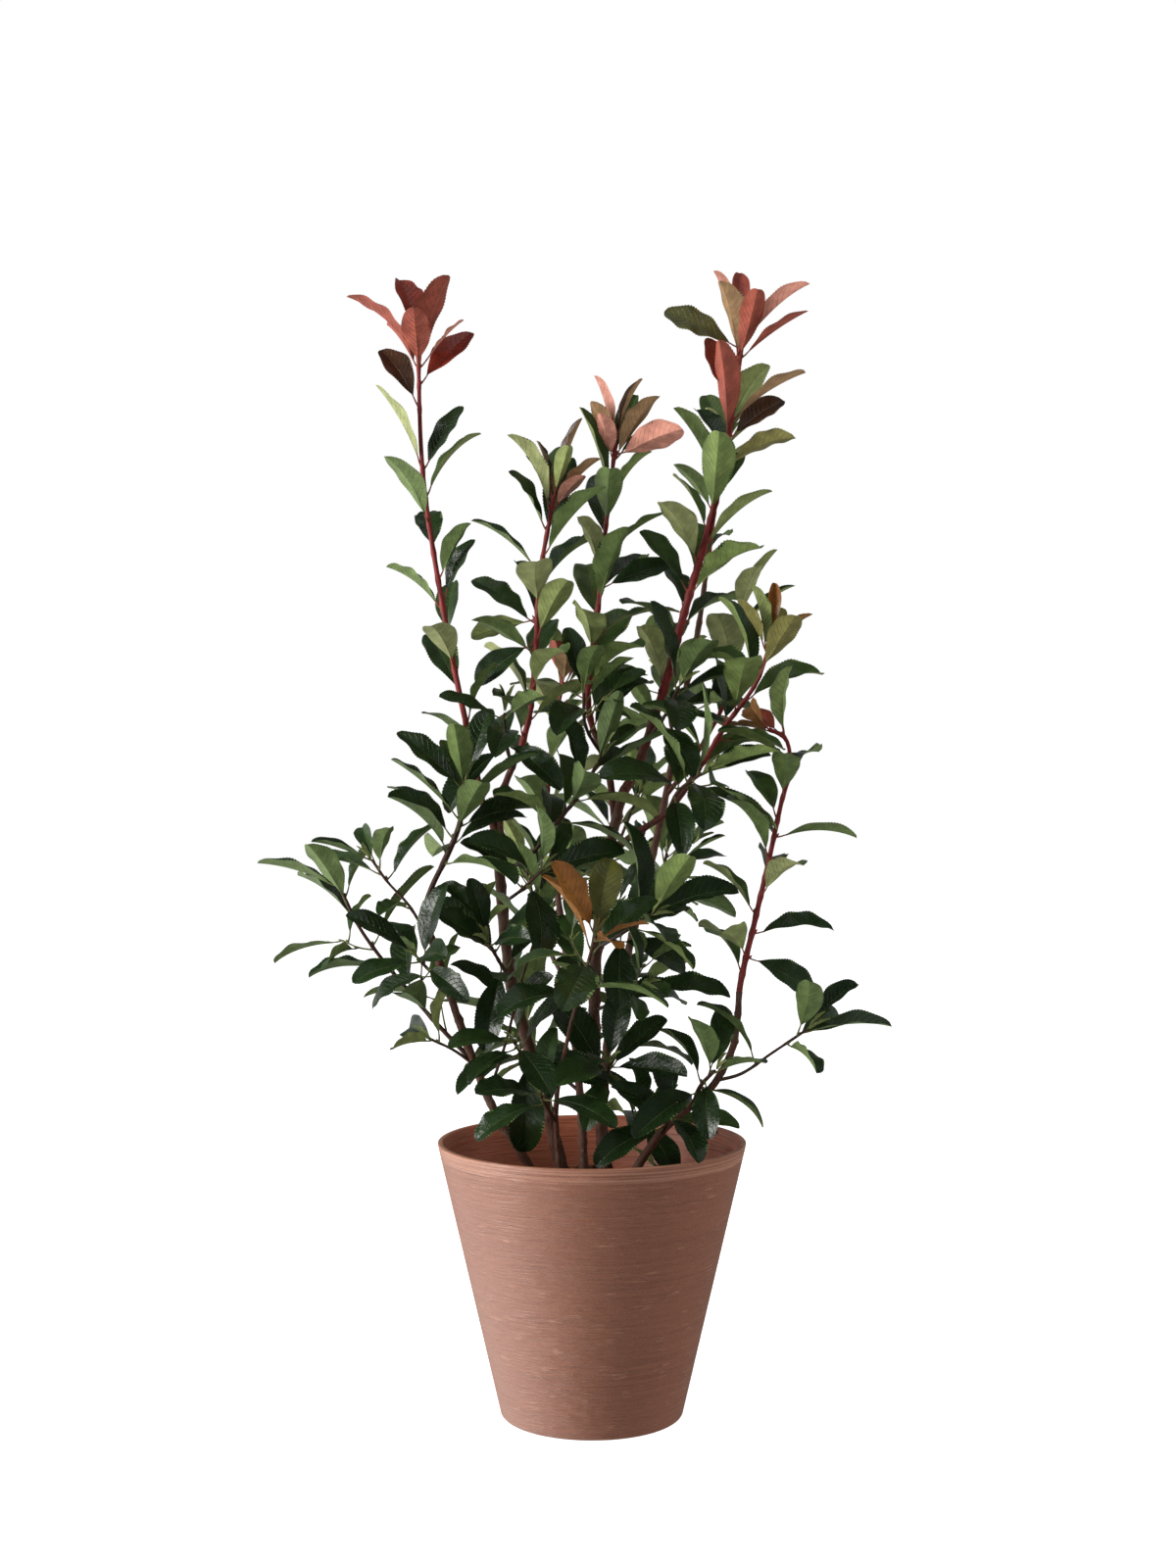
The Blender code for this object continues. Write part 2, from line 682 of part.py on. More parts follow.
def side_twig(twig, along, turn, length):
    """A twig that leaves another and bends up as it grows."""
    station = station_at(twig.stations, along)
    side = side_direction(station.direction)
    outward = side * math.cos(turn) + station.direction.cross(side) * math.sin(turn)
    way = (station.direction * math.cos(SIDE_TWIG_LEAN) + outward * math.sin(SIDE_TWIG_LEAN)).normalized()
    end_way = (way + Vector((0.0, 0.0, SIDE_TWIG_RISE))).normalized()
    middle = station.point + way * (length / 2)
    stations = smooth_route([station.point, middle, middle + end_way * (length / 2)], TWIG_STEP)
    return Twig(stations, SIDE_TWIG_RADIUS, SIDE_TWIG_RADIUS * TWIG_TAPER)


def side_twigs(main, mass, chance, obstacles):
    """The side twigs of a mass, up its main twig by turns to each side."""
    found = []
    for k in range(mass.side_twigs):
        along = blend(HABITS[mass.habit].bare, SIDE_TWIGS_UP_TO, (k + 0.5) / mass.side_twigs)
        length = route_length(main.stations) * chance.uniform(*SIDE_TWIG_PARTS)
        turn = math.radians(mass.phase) + SIDE_TWIG_TURN + math.pi * k
        twig = side_twig(main, along, turn, length)
        if not blocked(twig_shape(twig, LEAF_CLEARANCE), obstacles):
            found.append(twig)
    return found


def plan_masses(limb_routes, obstacles):
    """The twigs and leaves of every mass, by name. All main twigs are placed before the first leaf."""
    mains = {}
    for name, mass in MASSES.items():
        route = joined_route(limb_routes[mass.carrier], mass.joint_height, mass.route, TWIG_STEP)
        mains[name] = Twig(route, mass.radius, mass.radius * TWIG_TAPER)
    main_trees = {name: tree_of(twig_shape(main)) for name, main in mains.items()}
    twigs = {}
    leaves = {}
    for name, mass in MASSES.items():
        chance = random.Random(mass.seed)
        others = obstacles + [tree for other, tree in main_trees.items() if other != name]
        own = [mains[name], *side_twigs(mains[name], mass, chance, others)]
        own_trees = [tree_of(twig_shape(twig)) for twig in own]
        grown = []
        for k, twig in enumerate(own):
            count = SIDE_TWIG_LEAVES if k else mass.leaves - SIDE_TWIG_LEAVES * (len(own) - 1)
            phase = math.radians(mass.phase) + k
            grown += grow_leaves(twig, mass, count, phase, chance, others, own_trees)
        twigs[name] = own
        leaves[name] = grown
        obstacles = obstacles + own_trees + [tree_of(leaf_shape(leaf)) for leaf in grown]
    return twigs, leaves


# Solids


def applied(obj):
    """The object with its modifiers applied, and only its largest body kept."""
    graph = bpy.context.evaluated_depsgraph_get()
    mesh = bpy.data.meshes.new_from_object(obj.evaluated_get(graph))
    obj.modifiers.clear()
    obj.data = mesh
    shape = bmesh.new()
    shape.from_mesh(mesh)
    bodies = []
    unseen = set(shape.verts)
    while unseen:
        body = set()
        edge = [unseen.pop()]
        while edge:
            vert = edge.pop()
            body.add(vert)
            for link in vert.link_edges:
                other = link.other_vert(vert)
                if other in unseen:
                    unseen.discard(other)
                    edge.append(other)
        bodies.append(body)
    largest = max(bodies, key=len)
    loose = [vert for body in bodies if body is not largest for vert in body]
    bmesh.ops.delete(shape, geom=loose, context="VERTS")
    shape.to_mesh(mesh)
    shape.free()


def cut_clear(obj, carrier, carrier_stations):
    """Cuts a piece back to the gap from the limb whose side it starts in."""
    limb = LIMBS[carrier]
    sides = limb_sides(carrier)
    radii = limb_radii(limb, carrier_stations, GAP / math.cos(math.pi / sides))
    cutter = mesh_object("cutter", *tube_shape(carrier_stations, radii, sides))
    cutter.hide_render = True
    cutter.display_type = "WIRE"
    cut = obj.modifiers.new("clear of carrier", "BOOLEAN")
    cut.operation = "DIFFERENCE"
    cut.solver = "EXACT"
    cut.object = cutter
    applied(obj)
    bpy.data.objects.remove(cutter, do_unlink=True)


def build_limbs(routes):
    bark = material("bark", (0.105, 0.052, 0.036), 0.7)
    for name, limb in LIMBS.items():
        stations = routes[name]
        shape = tube_shape(stations, limb_radii(limb, stations), limb_sides(name))
        made = mesh_object(name, *shape, bark)
        if limb.joint_height is not None:
            cut_clear(made, limb.carrier, routes[limb.carrier])
        made.data.shade_smooth()


def build_mass(name, mass, twigs, leaves, routes, finish):
    """One solid: the main twig, with side twigs and leaves fused on."""
    made = mesh_object(name, *twig_shape(twigs[0]), finish)
    if mass.joint_height is not None:
        cut_clear(made, mass.carrier, routes[mass.carrier])
    pieces = bpy.data.collections.new(name + "_pieces")
    bpy.context.scene.collection.children.link(pieces)
    shapes = [twig_shape(twig) for twig in twigs[1:]] + [leaf_shape(leaf) for leaf in leaves]
    for shape in shapes:
        piece = mesh_object("piece", *shape, finish)
        bpy.context.scene.collection.objects.unlink(piece)
        pieces.objects.link(piece)
    fuse = made.modifiers.new("fuse", "BOOLEAN")
    fuse.operation = "UNION"
    fuse.operand_type = "COLLECTION"
    fuse.collection = pieces
    fuse.solver = "EXACT"
    applied(made)
    for piece in list(pieces.objects):
        bpy.data.objects.remove(piece, do_unlink=True)
    bpy.data.collections.remove(pieces)


def main():
    clear_scene()
    build_pot()
    build_soil()
    routes = plan_limbs()
    build_limbs(routes)
    obstacles = []
    for obj in bpy.data.objects:
        points = [obj.matrix_world @ vert.co for vert in obj.data.vertices]
        faces = [tuple(face.vertices) for face in obj.data.polygons]
        obstacles.append(tree_of((points, faces)))
    twigs, leaves = plan_masses(routes, obstacles)
    foliage = material("foliage", (0.045, 0.105, 0.030), 0.45)
    for name, mass in MASSES.items():
        build_mass(name, mass, twigs[name], leaves[name], routes, foliage)
    print(sum(len(found) for found in leaves.values()), "leaves")


main()
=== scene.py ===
"""The looks of a potted photinia: fine leaves, twigs, bark, pot and potting soil.

Limbs, twigs and leaves grow by the rule of the CAD solids, so each fine leaf sits where its solid
does. Finer twigs with small leaves then fill the space of each mass.
"""

import itertools
import math
import random
from collections import namedtuple

import bpy
import numpy as np
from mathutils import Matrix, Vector, noise
from mathutils.bvhtree import BVHTree


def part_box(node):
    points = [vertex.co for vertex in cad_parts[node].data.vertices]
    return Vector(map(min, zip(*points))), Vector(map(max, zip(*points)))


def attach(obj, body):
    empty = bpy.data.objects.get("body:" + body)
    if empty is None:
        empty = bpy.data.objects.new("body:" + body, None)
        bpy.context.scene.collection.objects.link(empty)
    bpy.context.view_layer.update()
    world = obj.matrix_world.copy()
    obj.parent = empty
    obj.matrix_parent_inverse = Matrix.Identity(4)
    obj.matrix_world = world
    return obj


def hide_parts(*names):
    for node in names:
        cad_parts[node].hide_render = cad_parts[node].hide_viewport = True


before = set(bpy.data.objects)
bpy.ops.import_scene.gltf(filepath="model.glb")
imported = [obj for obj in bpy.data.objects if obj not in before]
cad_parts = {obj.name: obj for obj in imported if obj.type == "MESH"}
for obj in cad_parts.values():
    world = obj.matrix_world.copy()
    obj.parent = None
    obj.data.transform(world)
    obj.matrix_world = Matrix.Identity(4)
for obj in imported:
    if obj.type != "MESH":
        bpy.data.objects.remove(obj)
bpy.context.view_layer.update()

GAP = 0.0003

# Pot, a plain cone with a thin wall
POT_HEIGHT = 0.265
POT_RIM_RADIUS = 0.150
POT_BASE_RADIUS = 0.089
POT_WALL = 0.0055
POT_FLOOR = 0.008
POT_FOOT_ROUNDING = 0.004
POT_LIP_ROUNDING = 0.0015
SOIL_LEVEL = 0.210

# Limbs and twigs
TWIG_SIDES = 4
STEM_STEP = 0.026
TWIG_STEP = 0.030
ROOT_FLARE = 0.35
ROOT_FLARE_HEIGHT = 0.012
TWIG_TAPER = 0.60
SIDE_TWIG_RADIUS = 0.0017
SIDE_TWIG_LEAN = math.radians(48)
SIDE_TWIG_RISE = 0.30
SIDE_TWIGS_UP_TO = 0.85
SIDE_TWIG_PARTS = (0.32, 0.42)
SIDE_TWIG_TURN = 1.10
SIDE_TWIG_LEAVES = 4

# Leaves: sizes are parts of a leaf's length unless they are in metres
PETIOLE = 0.012
PETIOLE_HALF_WIDTH = 0.0006
LEAF_HALF_WIDTH = 0.24
LEAF_HALF_THICKNESS = 0.010
LEAF_FOLD = math.radians(26)
LEAF_STATIONS = ((0.30, 0.88), (0.70, 0.94))
LEAF_CLEARANCE = 0.0013
TIP_BEND = 3
SPREAD_BEND = 1.2
LEAF_FACE_TO_TIP = 0.6
LEAF_FACE_TO_SKY = 0.6
GOLDEN_ANGLE = math.radians(137.5)

# How far leaves stray from the rule to each side: in degrees, and as a part of the length
TURN_SWAY = 26
SPREAD_SWAY = 18
DROOP_SWAY = 8
ROLL_SWAY = 22
LENGTH_SWAY = 0.18

# Other turns in radians, and other sizes, that a leaf tries before it is skipped
TURNS = (0.0, 0.45, -0.45, 0.9, -0.9)
SHRINKS = (1.0, 0.78)

Limb = namedtuple("Limb", "carrier joint_height radius tip_radius route")
Habit = namedtuple("Habit", "bare below_to crown crown_from spreads droops lift tip_length tip_width")
Mass = namedtuple(
    "Mass",
    "carrier joint_height radius habit leaves leaf_length phase seed route side_twigs",
    defaults=(0,),
)
Station = namedtuple("Station", "point direction along")
Twig = namedtuple("Twig", "stations radius tip_radius")
Leaf = namedtuple("Leaf", "root axis face length half_width droop")

# A limb without a carrier is a stem that starts on the soil. Its route then starts there.
# The others leave their carrier's side at the joint height, or its tip where that is None.
LIMBS = {
    "stem_left": Limb(None, None, 0.0046, 0.0034, [
        (-0.052, -0.012, SOIL_LEVEL), (-0.095, -0.028, 0.300), (-0.132, -0.040, 0.400),
        (-0.156, -0.048, 0.475)
    ]),
    "stem_mid_left": Limb(None, None, 0.0065, 0.0048, [
        (-0.028, 0.000, SOIL_LEVEL), (-0.044, 0.003, 0.297), (-0.0765, 0.006, 0.407),
        (-0.090, 0.008, 0.5235), (-0.092, 0.010, 0.604)
    ]),
    "stem_centre": Limb(None, None, 0.0060, 0.0050, [
        (0.014, 0.006, SOIL_LEVEL), (0.003, 0.012, 0.345), (0.004, 0.016, 0.440),
        (0.012, 0.020, 0.520), (0.028, 0.022, 0.595)
    ]),
    "stem_back": Limb(None, None, 0.0050, 0.0026, [
        (0.012, 0.040, SOIL_LEVEL), (0.017, 0.055, 0.360), (0.039, 0.070, 0.451),
        (0.061, 0.085, 0.536), (0.074, 0.095, 0.592), (0.093, 0.100, 0.692),
        (0.110, 0.105, 0.775), (0.120, 0.110, 0.845)
    ]),
    "stem_right": Limb(None, None, 0.0045, 0.0030, [
        (0.032, -0.020, SOIL_LEVEL), (0.045, -0.024, 0.245), (0.072, -0.030, 0.283),
        (0.117, -0.035, 0.325), (0.135, -0.035, 0.360), (0.141, -0.035, 0.413)
    ]),
    "stem_front": Limb(None, None, 0.0027, 0.0020, [
        (-0.030, -0.030, SOIL_LEVEL), (-0.0335, -0.050, 0.315), (-0.022, -0.080, 0.378)
    ]),
    "stem_rear": Limb(None, None, 0.0045, 0.0030, [
        (-0.008, 0.055, SOIL_LEVEL), (-0.020, 0.110, 0.380), (-0.045, 0.165, 0.560)
    ]),
    "bough_left_high": Limb("stem_mid_left", 0.560, 0.0034, 0.0031, [
        (-0.108, 0.000, 0.599), (-0.112, 0.000, 0.6215)
    ]),
    "bough_second": Limb("stem_mid_left", 0.586, 0.0034, 0.0031, [
        (-0.084, 0.012, 0.614), (-0.071, 0.010, 0.645)
    ]),
    "bough_third": Limb("stem_centre", 0.572, 0.0036, 0.0031, [
        (0.016, 0.028, 0.625), (0.002, 0.030, 0.664)
    ]),
    "bough_right_high": Limb("stem_centre", None, 0.0048, 0.0043, [
        (0.0417, 0.030, 0.6217), (0.065, 0.030, 0.687)
    ]),
    "bough_diagonal": Limb("stem_centre", 0.540, 0.0034, 0.0028, [
        (0.0415, 0.005, 0.563), (0.0722, -0.010, 0.5835), (0.0985, -0.020, 0.620)
    ]),
    "bough_diagonal_back": Limb("stem_back", 0.600, 0.0026, 0.0022, [
        (0.100, 0.085, 0.632), (0.1227, 0.070, 0.671)
    ]),
}

# How leaves sit on a twig. Its lower leaves grow between two parts of its length, bare and
# below_to. The crown is the number of leaves crowded from crown_from to the tip. Spreads are the
# angles between leaf and twig and droops are how far a leaf bends down, in degrees, for the
# lowest leaf and the highest. Lift turns leaves towards the sky. The tip's length and width are
# parts of those of the lowest leaf.
HABITS = {
    "shoot": Habit(0.05, 0.82, 5, 0.93, (56, 30), (40, 14), 0.22, 0.82, 0.75),
    "slim": Habit(0.05, 0.71, 5, 0.94, (46, 30), (34, 16), 0.20, 1.20, 1.1),
    "arch": Habit(0.06, 0.85, 3, 0.93, (60, 46), (42, 28), 0.10, 0.75, 0.9),
    "bunch": Habit(0.35, 0.72, 4, 0.80, (86, 34), (46, 18), 0.18, 0.85, 1.0),
    "spray": Habit(0.28, 0.80, 4, 0.88, (62, 30), (40, 16), 0.25, 0.80, 0.9),
    "wand": Habit(0.45, 0.76, 4, 0.85, (72, 30), (40, 14), 0.15, 0.80, 0.9),
    "sprig": Habit(0.45, 0.80, 3, 0.86, (75, 30), (32, 14), 0.25, 1.0, 1.0),
}

# A mass joins its carrier as a limb does. The values after its twig's radius are its habit, the
# number and length of its leaves, the turn of its lowest leaf in degrees and the seed of its sway.
# The route comes next, and then the number of side twigs where it has any.
MASSES = {
    "tall_left": Mass("bough_left_high", None, 0.0030, "slim", 16, 0.068, 225, 7, [
        (-0.129, -0.004, 0.701), (-0.148, -0.010, 0.803), (-0.163, -0.016, 0.908),
        (-0.168, -0.020, 1.040)
    ]),
    "tall_second": Mass("bough_second", None, 0.0030, "shoot", 18, 0.077, 225, 93, [
        (-0.0547, 0.008, 0.745), (-0.052, 0.002, 0.803), (-0.0365, -0.010, 0.893)
    ]),
    "tall_third": Mass("bough_third", None, 0.0030, "shoot", 20, 0.076, 30, 118, [
        (0.0068, 0.025, 0.792), (0.0233, 0.015, 0.948)
    ]),
    "tall_right": Mass("bough_right_high", None, 0.0042, "shoot", 24, 0.080, 195, 15, [
        (0.093, 0.028, 0.787), (0.110, 0.026, 0.845), (0.127, 0.023, 0.913), (0.148, 0.020, 1.052)
    ]),
    "tall_right_back": Mass("stem_back", None, 0.0025, "slim", 8, 0.062, 60, 6, [
        (0.135, 0.110, 0.960)
    ]),
    "back_high": Mass("stem_back", 0.650, 0.0020, "bunch", 8, 0.070, 0, 54, [
        (0.080, 0.122, 0.684), (0.072, 0.136, 0.722)
    ]),
    "back_middle": Mass("stem_back", 0.470, 0.0020, "bunch", 8, 0.072, 255, 13, [
        (0.066, 0.104, 0.500), (0.078, 0.128, 0.540)
    ]),
    "diagonal_right": Mass("bough_diagonal", None, 0.0027, "shoot", 13, 0.078, 60, 114, [
        (0.129, -0.028, 0.669), (0.158, -0.035, 0.710), (0.169, -0.040, 0.742)
    ]),
    "diagonal_back": Mass("bough_diagonal_back", None, 0.0021, "shoot", 8, 0.074, 75, 5, [
        (0.1396, 0.060, 0.711), (0.148, 0.050, 0.780)
    ]),
    "right_arch": Mass("stem_right", None, 0.0030, "arch", 15, 0.078, 120, 48, [
        (0.153, -0.035, 0.4685), (0.167, -0.035, 0.5285), (0.181, -0.035, 0.593),
        (0.190, -0.035, 0.634), (0.184, -0.035, 0.657), (0.169, -0.035, 0.6645)
    ]),
    "right_low": Mass("stem_right", 0.328, 0.0018, "wand", 6, 0.080, 135, 17, [
        (0.141, -0.050, 0.3365), (0.170, -0.056, 0.357), (0.203, -0.060, 0.380)
    ]),
    "right_low_front": Mass("stem_right", 0.305, 0.0022, "bunch", 8, 0.076, 210, 46, [
        (0.104, -0.052, 0.327), (0.116, -0.064, 0.342)
    ]),
    "left_up": Mass("stem_left", None, 0.0030, "wand", 12, 0.077, 330, 60, [
        (-0.158, -0.050, 0.494), (-0.1415, -0.050, 0.536), (-0.125, -0.050, 0.577),
        (-0.121, -0.050, 0.612)
    ]),
    "left_out": Mass("stem_left", 0.452, 0.0018, "wand", 6, 0.062, 240, 128, [
        (-0.174, -0.060, 0.4985), (-0.194, -0.063, 0.521), (-0.207, -0.065, 0.540)
    ]),
    "left_middle": Mass("stem_left", 0.425, 0.0018, "bunch", 6, 0.070, 150, 62, [
        (-0.152, -0.070, 0.436), (-0.162, -0.088, 0.450)
    ]),
    "left_low": Mass("stem_left", 0.345, 0.0024, "spray", 9, 0.078, 285, 111, [
        (-0.149, -0.030, 0.382), (-0.1825, -0.035, 0.422), (-0.222, -0.040, 0.475),
        (-0.243, -0.045, 0.520)
    ]),
    "left_base": Mass("stem_left", 0.342, 0.0018, "wand", 4, 0.064, 345, 37, [
        (-0.134, -0.040, 0.359), (-0.152, -0.044, 0.368)
    ]),
    "front": Mass("stem_front", None, 0.0020, "bunch", 8, 0.080, 195, 111, [
        (-0.010, -0.105, 0.424), (0.003, -0.130, 0.474)
    ]),
    "thin_middle": Mass("stem_left", 0.312, 0.0016, "wand", 7, 0.070, 120, 94, [
        (-0.083, -0.030, 0.363), (-0.067, -0.028, 0.425), (-0.057, -0.026, 0.457),
        (-0.049, -0.025, 0.494)
    ]),
    "diagonal_middle": Mass("stem_mid_left", 0.525, 0.0024, "wand", 11, 0.074, 90, 118, [
        (-0.059, -0.030, 0.544), (-0.036, -0.032, 0.572), (-0.010, -0.030, 0.605),
        (0.009, -0.020, 0.638)
    ]),
    "middle_left": Mass("stem_mid_left", 0.420, 0.0022, "bunch", 9, 0.076, 60, 98, [
        (-0.088, -0.030, 0.440), (-0.098, -0.055, 0.462)
    ]),
    "middle_centre": Mass("stem_mid_left", 0.495, 0.0020, "bunch", 8, 0.074, 255, 105, [
        (-0.066, -0.038, 0.512), (-0.048, -0.058, 0.530)
    ]),
    "low_left": Mass("stem_mid_left", 0.345, 0.0022, "bunch", 9, 0.078, 195, 103, [
        (-0.066, -0.030, 0.352), (-0.074, -0.056, 0.368)
    ]),
    "low_front": Mass("stem_front", 0.290, 0.0018, "bunch", 6, 0.076, 60, 120, [
        (-0.042, -0.060, 0.306), (-0.048, -0.072, 0.320)
    ]),
    "low_centre": Mass("stem_centre", 0.315, 0.0022, "bunch", 8, 0.072, 345, 123, [
        (0.014, -0.022, 0.330), (0.016, -0.050, 0.346)
    ]),
    "low_right": Mass("stem_right", 0.275, 0.0020, "bunch", 6, 0.062, 195, 105, [
        (0.072, -0.046, 0.290), (0.072, -0.060, 0.300)
    ]),
    "pot_low": Mass("stem_centre", 0.250, 0.0020, "bunch", 7, 0.062, 330, 124, [
        (0.036, 0.022, 0.268), (0.056, 0.030, 0.288)
    ]),
    "centre_right": Mass("stem_centre", 0.450, 0.0022, "bunch", 10, 0.080, 345, 99, [
        (0.028, -0.025, 0.468), (0.056, -0.058, 0.488)
    ]),
    "centre_low": Mass("stem_centre", 0.390, 0.0020, "bunch", 8, 0.078, 15, 101, [
        (0.026, -0.016, 0.402), (0.046, -0.040, 0.418)
    ]),
    "upper_left": Mass("bough_second", 0.628, 0.0020, "bunch", 9, 0.078, 60, 20, [
        (-0.083, -0.014, 0.652), (-0.084, -0.030, 0.680)
    ]),
    "upper_centre": Mass("bough_third", 0.640, 0.0020, "bunch", 9, 0.076, 285, 75, [
        (-0.006, -0.002, 0.668), (-0.008, -0.022, 0.700)
    ]),
    "upper_right": Mass("bough_right_high", 0.655, 0.0020, "bunch", 9, 0.078, 285, 91, [
        (0.072, 0.004, 0.680), (0.084, -0.016, 0.706)
    ]),
    "diagonal_low": Mass("bough_diagonal", 0.584, 0.0020, "bunch", 9, 0.082, 285, 91, [
        (0.084, -0.034, 0.606), (0.104, -0.050, 0.622)
    ]),
    "rear_left": Mass("stem_rear", 0.400, 0.0024, "spray", 10, 0.074, 300, 96, [
        (-0.050, 0.145, 0.450), (-0.068, 0.162, 0.520)
    ], 1),
    "rear_middle": Mass("stem_rear", None, 0.0026, "shoot", 12, 0.078, 255, 65, [
        (-0.044, 0.172, 0.640), (-0.030, 0.165, 0.720)
    ]),
    "rear_right": Mass("stem_rear", 0.450, 0.0024, "spray", 10, 0.074, 45, 113, [
        (0.010, 0.165, 0.510), (0.050, 0.185, 0.600)
    ], 1),
    "rear_low_left": Mass("stem_rear", 0.300, 0.0020, "bunch", 8, 0.078, 105, 123, [
        (-0.050, 0.105, 0.330), (-0.078, 0.125, 0.372)
    ]),
    "rear_low_right": Mass("stem_back", 0.320, 0.0020, "bunch", 7, 0.070, 0, 100, [
        (0.030, 0.085, 0.350), (0.038, 0.115, 0.400)
    ]),
}

# Camera, with lengths in pixels of the photograph
IMAGE_HEIGHT = 1600
FOCAL_PIXELS = 2037
SENSOR = 36.0
CAMERA_DISTANCE = 1.946
CAMERA_HEIGHT = 0.612
CAMERA_SIDEWAYS = -0.0038

# Light. The bounce is light from the floor, which glossy faces show as a bright patch.
Lamp = namedtuple("Lamp", "name place aim_height size power colour in_gloss")
WHITE = (1.0, 1.0, 1.0, 1.0)
LAMPS = (
    Lamp("key_left", (-2.1, -0.80, 1.30), 0.50, (1.0, 2.0), 64.0, (1.0, 0.985, 0.96), True),
    Lamp("top", (0.2, -0.4, 2.7), 0.40, (2.2, 2.2), 8.0, WHITE[:3], True),
    Lamp("rim_right", (2.0, 0.40, 0.90), 0.45, (0.9, 1.8), 18.0, WHITE[:3], False),
)
GLOSS_SHARE = 0.4
BOUNCE_WAY = (-0.85, 0.0, -0.53)
BOUNCE_SPREAD = (0.30, 1.04)
BOUNCE_LIGHT = 0.28
BOUNCE_GLOSS = 2.3
WALL_LIGHT = (0.52, 0.52, 0.52)
CEILING_LIGHT = (0.09, 0.095, 0.10)
SKY_RISE = (0.25, 0.70)
FLOOR_SIZE = 12.0
FLOOR_DROP = 0.0002
FLOOR_GLOW = 1.0
FLOOR_COLOUR = (0.90, 0.90, 0.90, 1.0)

# Blades. Columns and teeth are parts of the half width, and angles are in degrees.
BLADE_ROWS = 26
SMALL_BLADE_ROWS = 14
SMALL_BLADE = 0.050
BLADE_COLUMNS = (-1.0, -0.72, -0.36, -0.07, 0.0, 0.07, 0.36, 0.72, 1.0)
BLADE_FULLNESS = (0.78, 0.50)
BLADE_BENDS = (1.12, 1.36)
BLADE_FOLDS = (18, 40)
YOUNG_FOLD = 70
BLADE_TWIST = 12
BLADE_SWAY = 0.02
BLADE_WAVES = (2.0, 3.6)
BLADE_WAVE_HEIGHTS = (0.03, 0.10)
BLADE_TIP_DROOP = 0.07
BLADE_EDGE_FALL = 0.10
BLADE_LEAST = 0.0004
BLADE_THICKNESS = 0.00035
BLADE_TOOTH = 0.065
BLADE_TOOTH_LEAN = 0.30
RIB_DEPTH = 0.0007
RIB_ROUNDING = 0.004
RIB_SINK = 0.063

# Twigs, stalks and buds
FINE_TWIG_STEP = 0.006
FINE_TWIG_SIDES = 10
JOINT_SWELL = 0.22
STALK_OVERLAP = 0.003
STALK_SAG = 0.0006
STALK_STEP = 0.004
STALK_SIDES = 6
STALK_RADII = (0.00105, 0.00060)
BUD_LENGTH = 0.0042
BUD_RADIUS = 0.0011
BUD_SIDES = 6
BUD_PROFILE = ((0.0, 0.7), (0.35, 1.0), (0.75, 0.6), (1.0, 0.1))
BUD_RISE = 0.8
BUD_LEAN = 0.45

# Sprigs, the finer twigs of a mass
REACH_SPARE = 0.003
SPRIGS_PER_METRE = 16
SPRIGS_AT_LEAST = 1
SPRIGS_FROM = 0.6
SPRIGS_UP_TO = 0.78
SPRIG_LENGTHS = (0.022, 0.050)
SPRIG_CARRIERS = ("bunch", "spray")
SPRIG_RADIUS = 0.0010
SPRIG_TIP_RADIUS = 0.0006
SPRIG_CLEARANCE = 0.0006
SPRIG_LEAVES = (0.50, 0.80)
SPRIG_LEAF_COUNT = 4
SPRIG_LEAST_LEAVES = 2

# Young leaves at the tips of shoots, with the turn of the first and the spreads in degrees
CROWN_TRIES = 14
CROWN_PLACES = (0.92, 0.985)
CROWN_SIZE_SWAY = (0.85, 1.15)
CROWN_LIFT = 0.1
CROWN_HALF_WIDTH = 0.26
CROWN_DROOP = math.radians(14)
CROWN_CLEARANCE = 0.0004
Crown = namedtuple("Crown", "leaves first size spreads tints")
CROWNS = {
    "tall_left": Crown(4, 220, 0.76, (16, 40), ("red", "salmon", "red", "red")),
    "tall_second": Crown(3, 180, 0.62, (16, 42), ("bronze", "salmon", "fresh")),
    "tall_third": Crown(3, 100, 0.60, (16, 42), ("bronze", "salmon", "olive")),
    "tall_right": Crown(4, 100, 0.80, (20, 52), ("bronze", "bronze", "salmon", "red")),
    "tall_right_back": Crown(2, 40, 0.60, (16, 42), ("fresh", "pale")),
    "diagonal_right": Crown(3, 90, 0.60, (18, 46), ("olive", "orange", "olive")),
    "right_arch": Crown(2, 90, 0.45, (18, 46), ("salmon", "orange")),
    "front": Crown(1, 205, 0.60, (40, 54), ("orange",)),
    "rear_middle": Crown(3, 250, 0.65, (16, 42), ("red", "salmon", "bronze")),
}
TIP_LEAVES = 3
TIP_LEAF_START = 0.3
TIP_LEAF_SIZE = 0.34
TIP_SIZE_SWAY = (0.7, 1.1)
TIP_LEAF_SPREADS = (8, 22)
TIP_LEAF_DROOP = math.radians(12)
TIP_LEAF_SINK = 0.8
YOUNG_HALF_WIDTH = 0.15

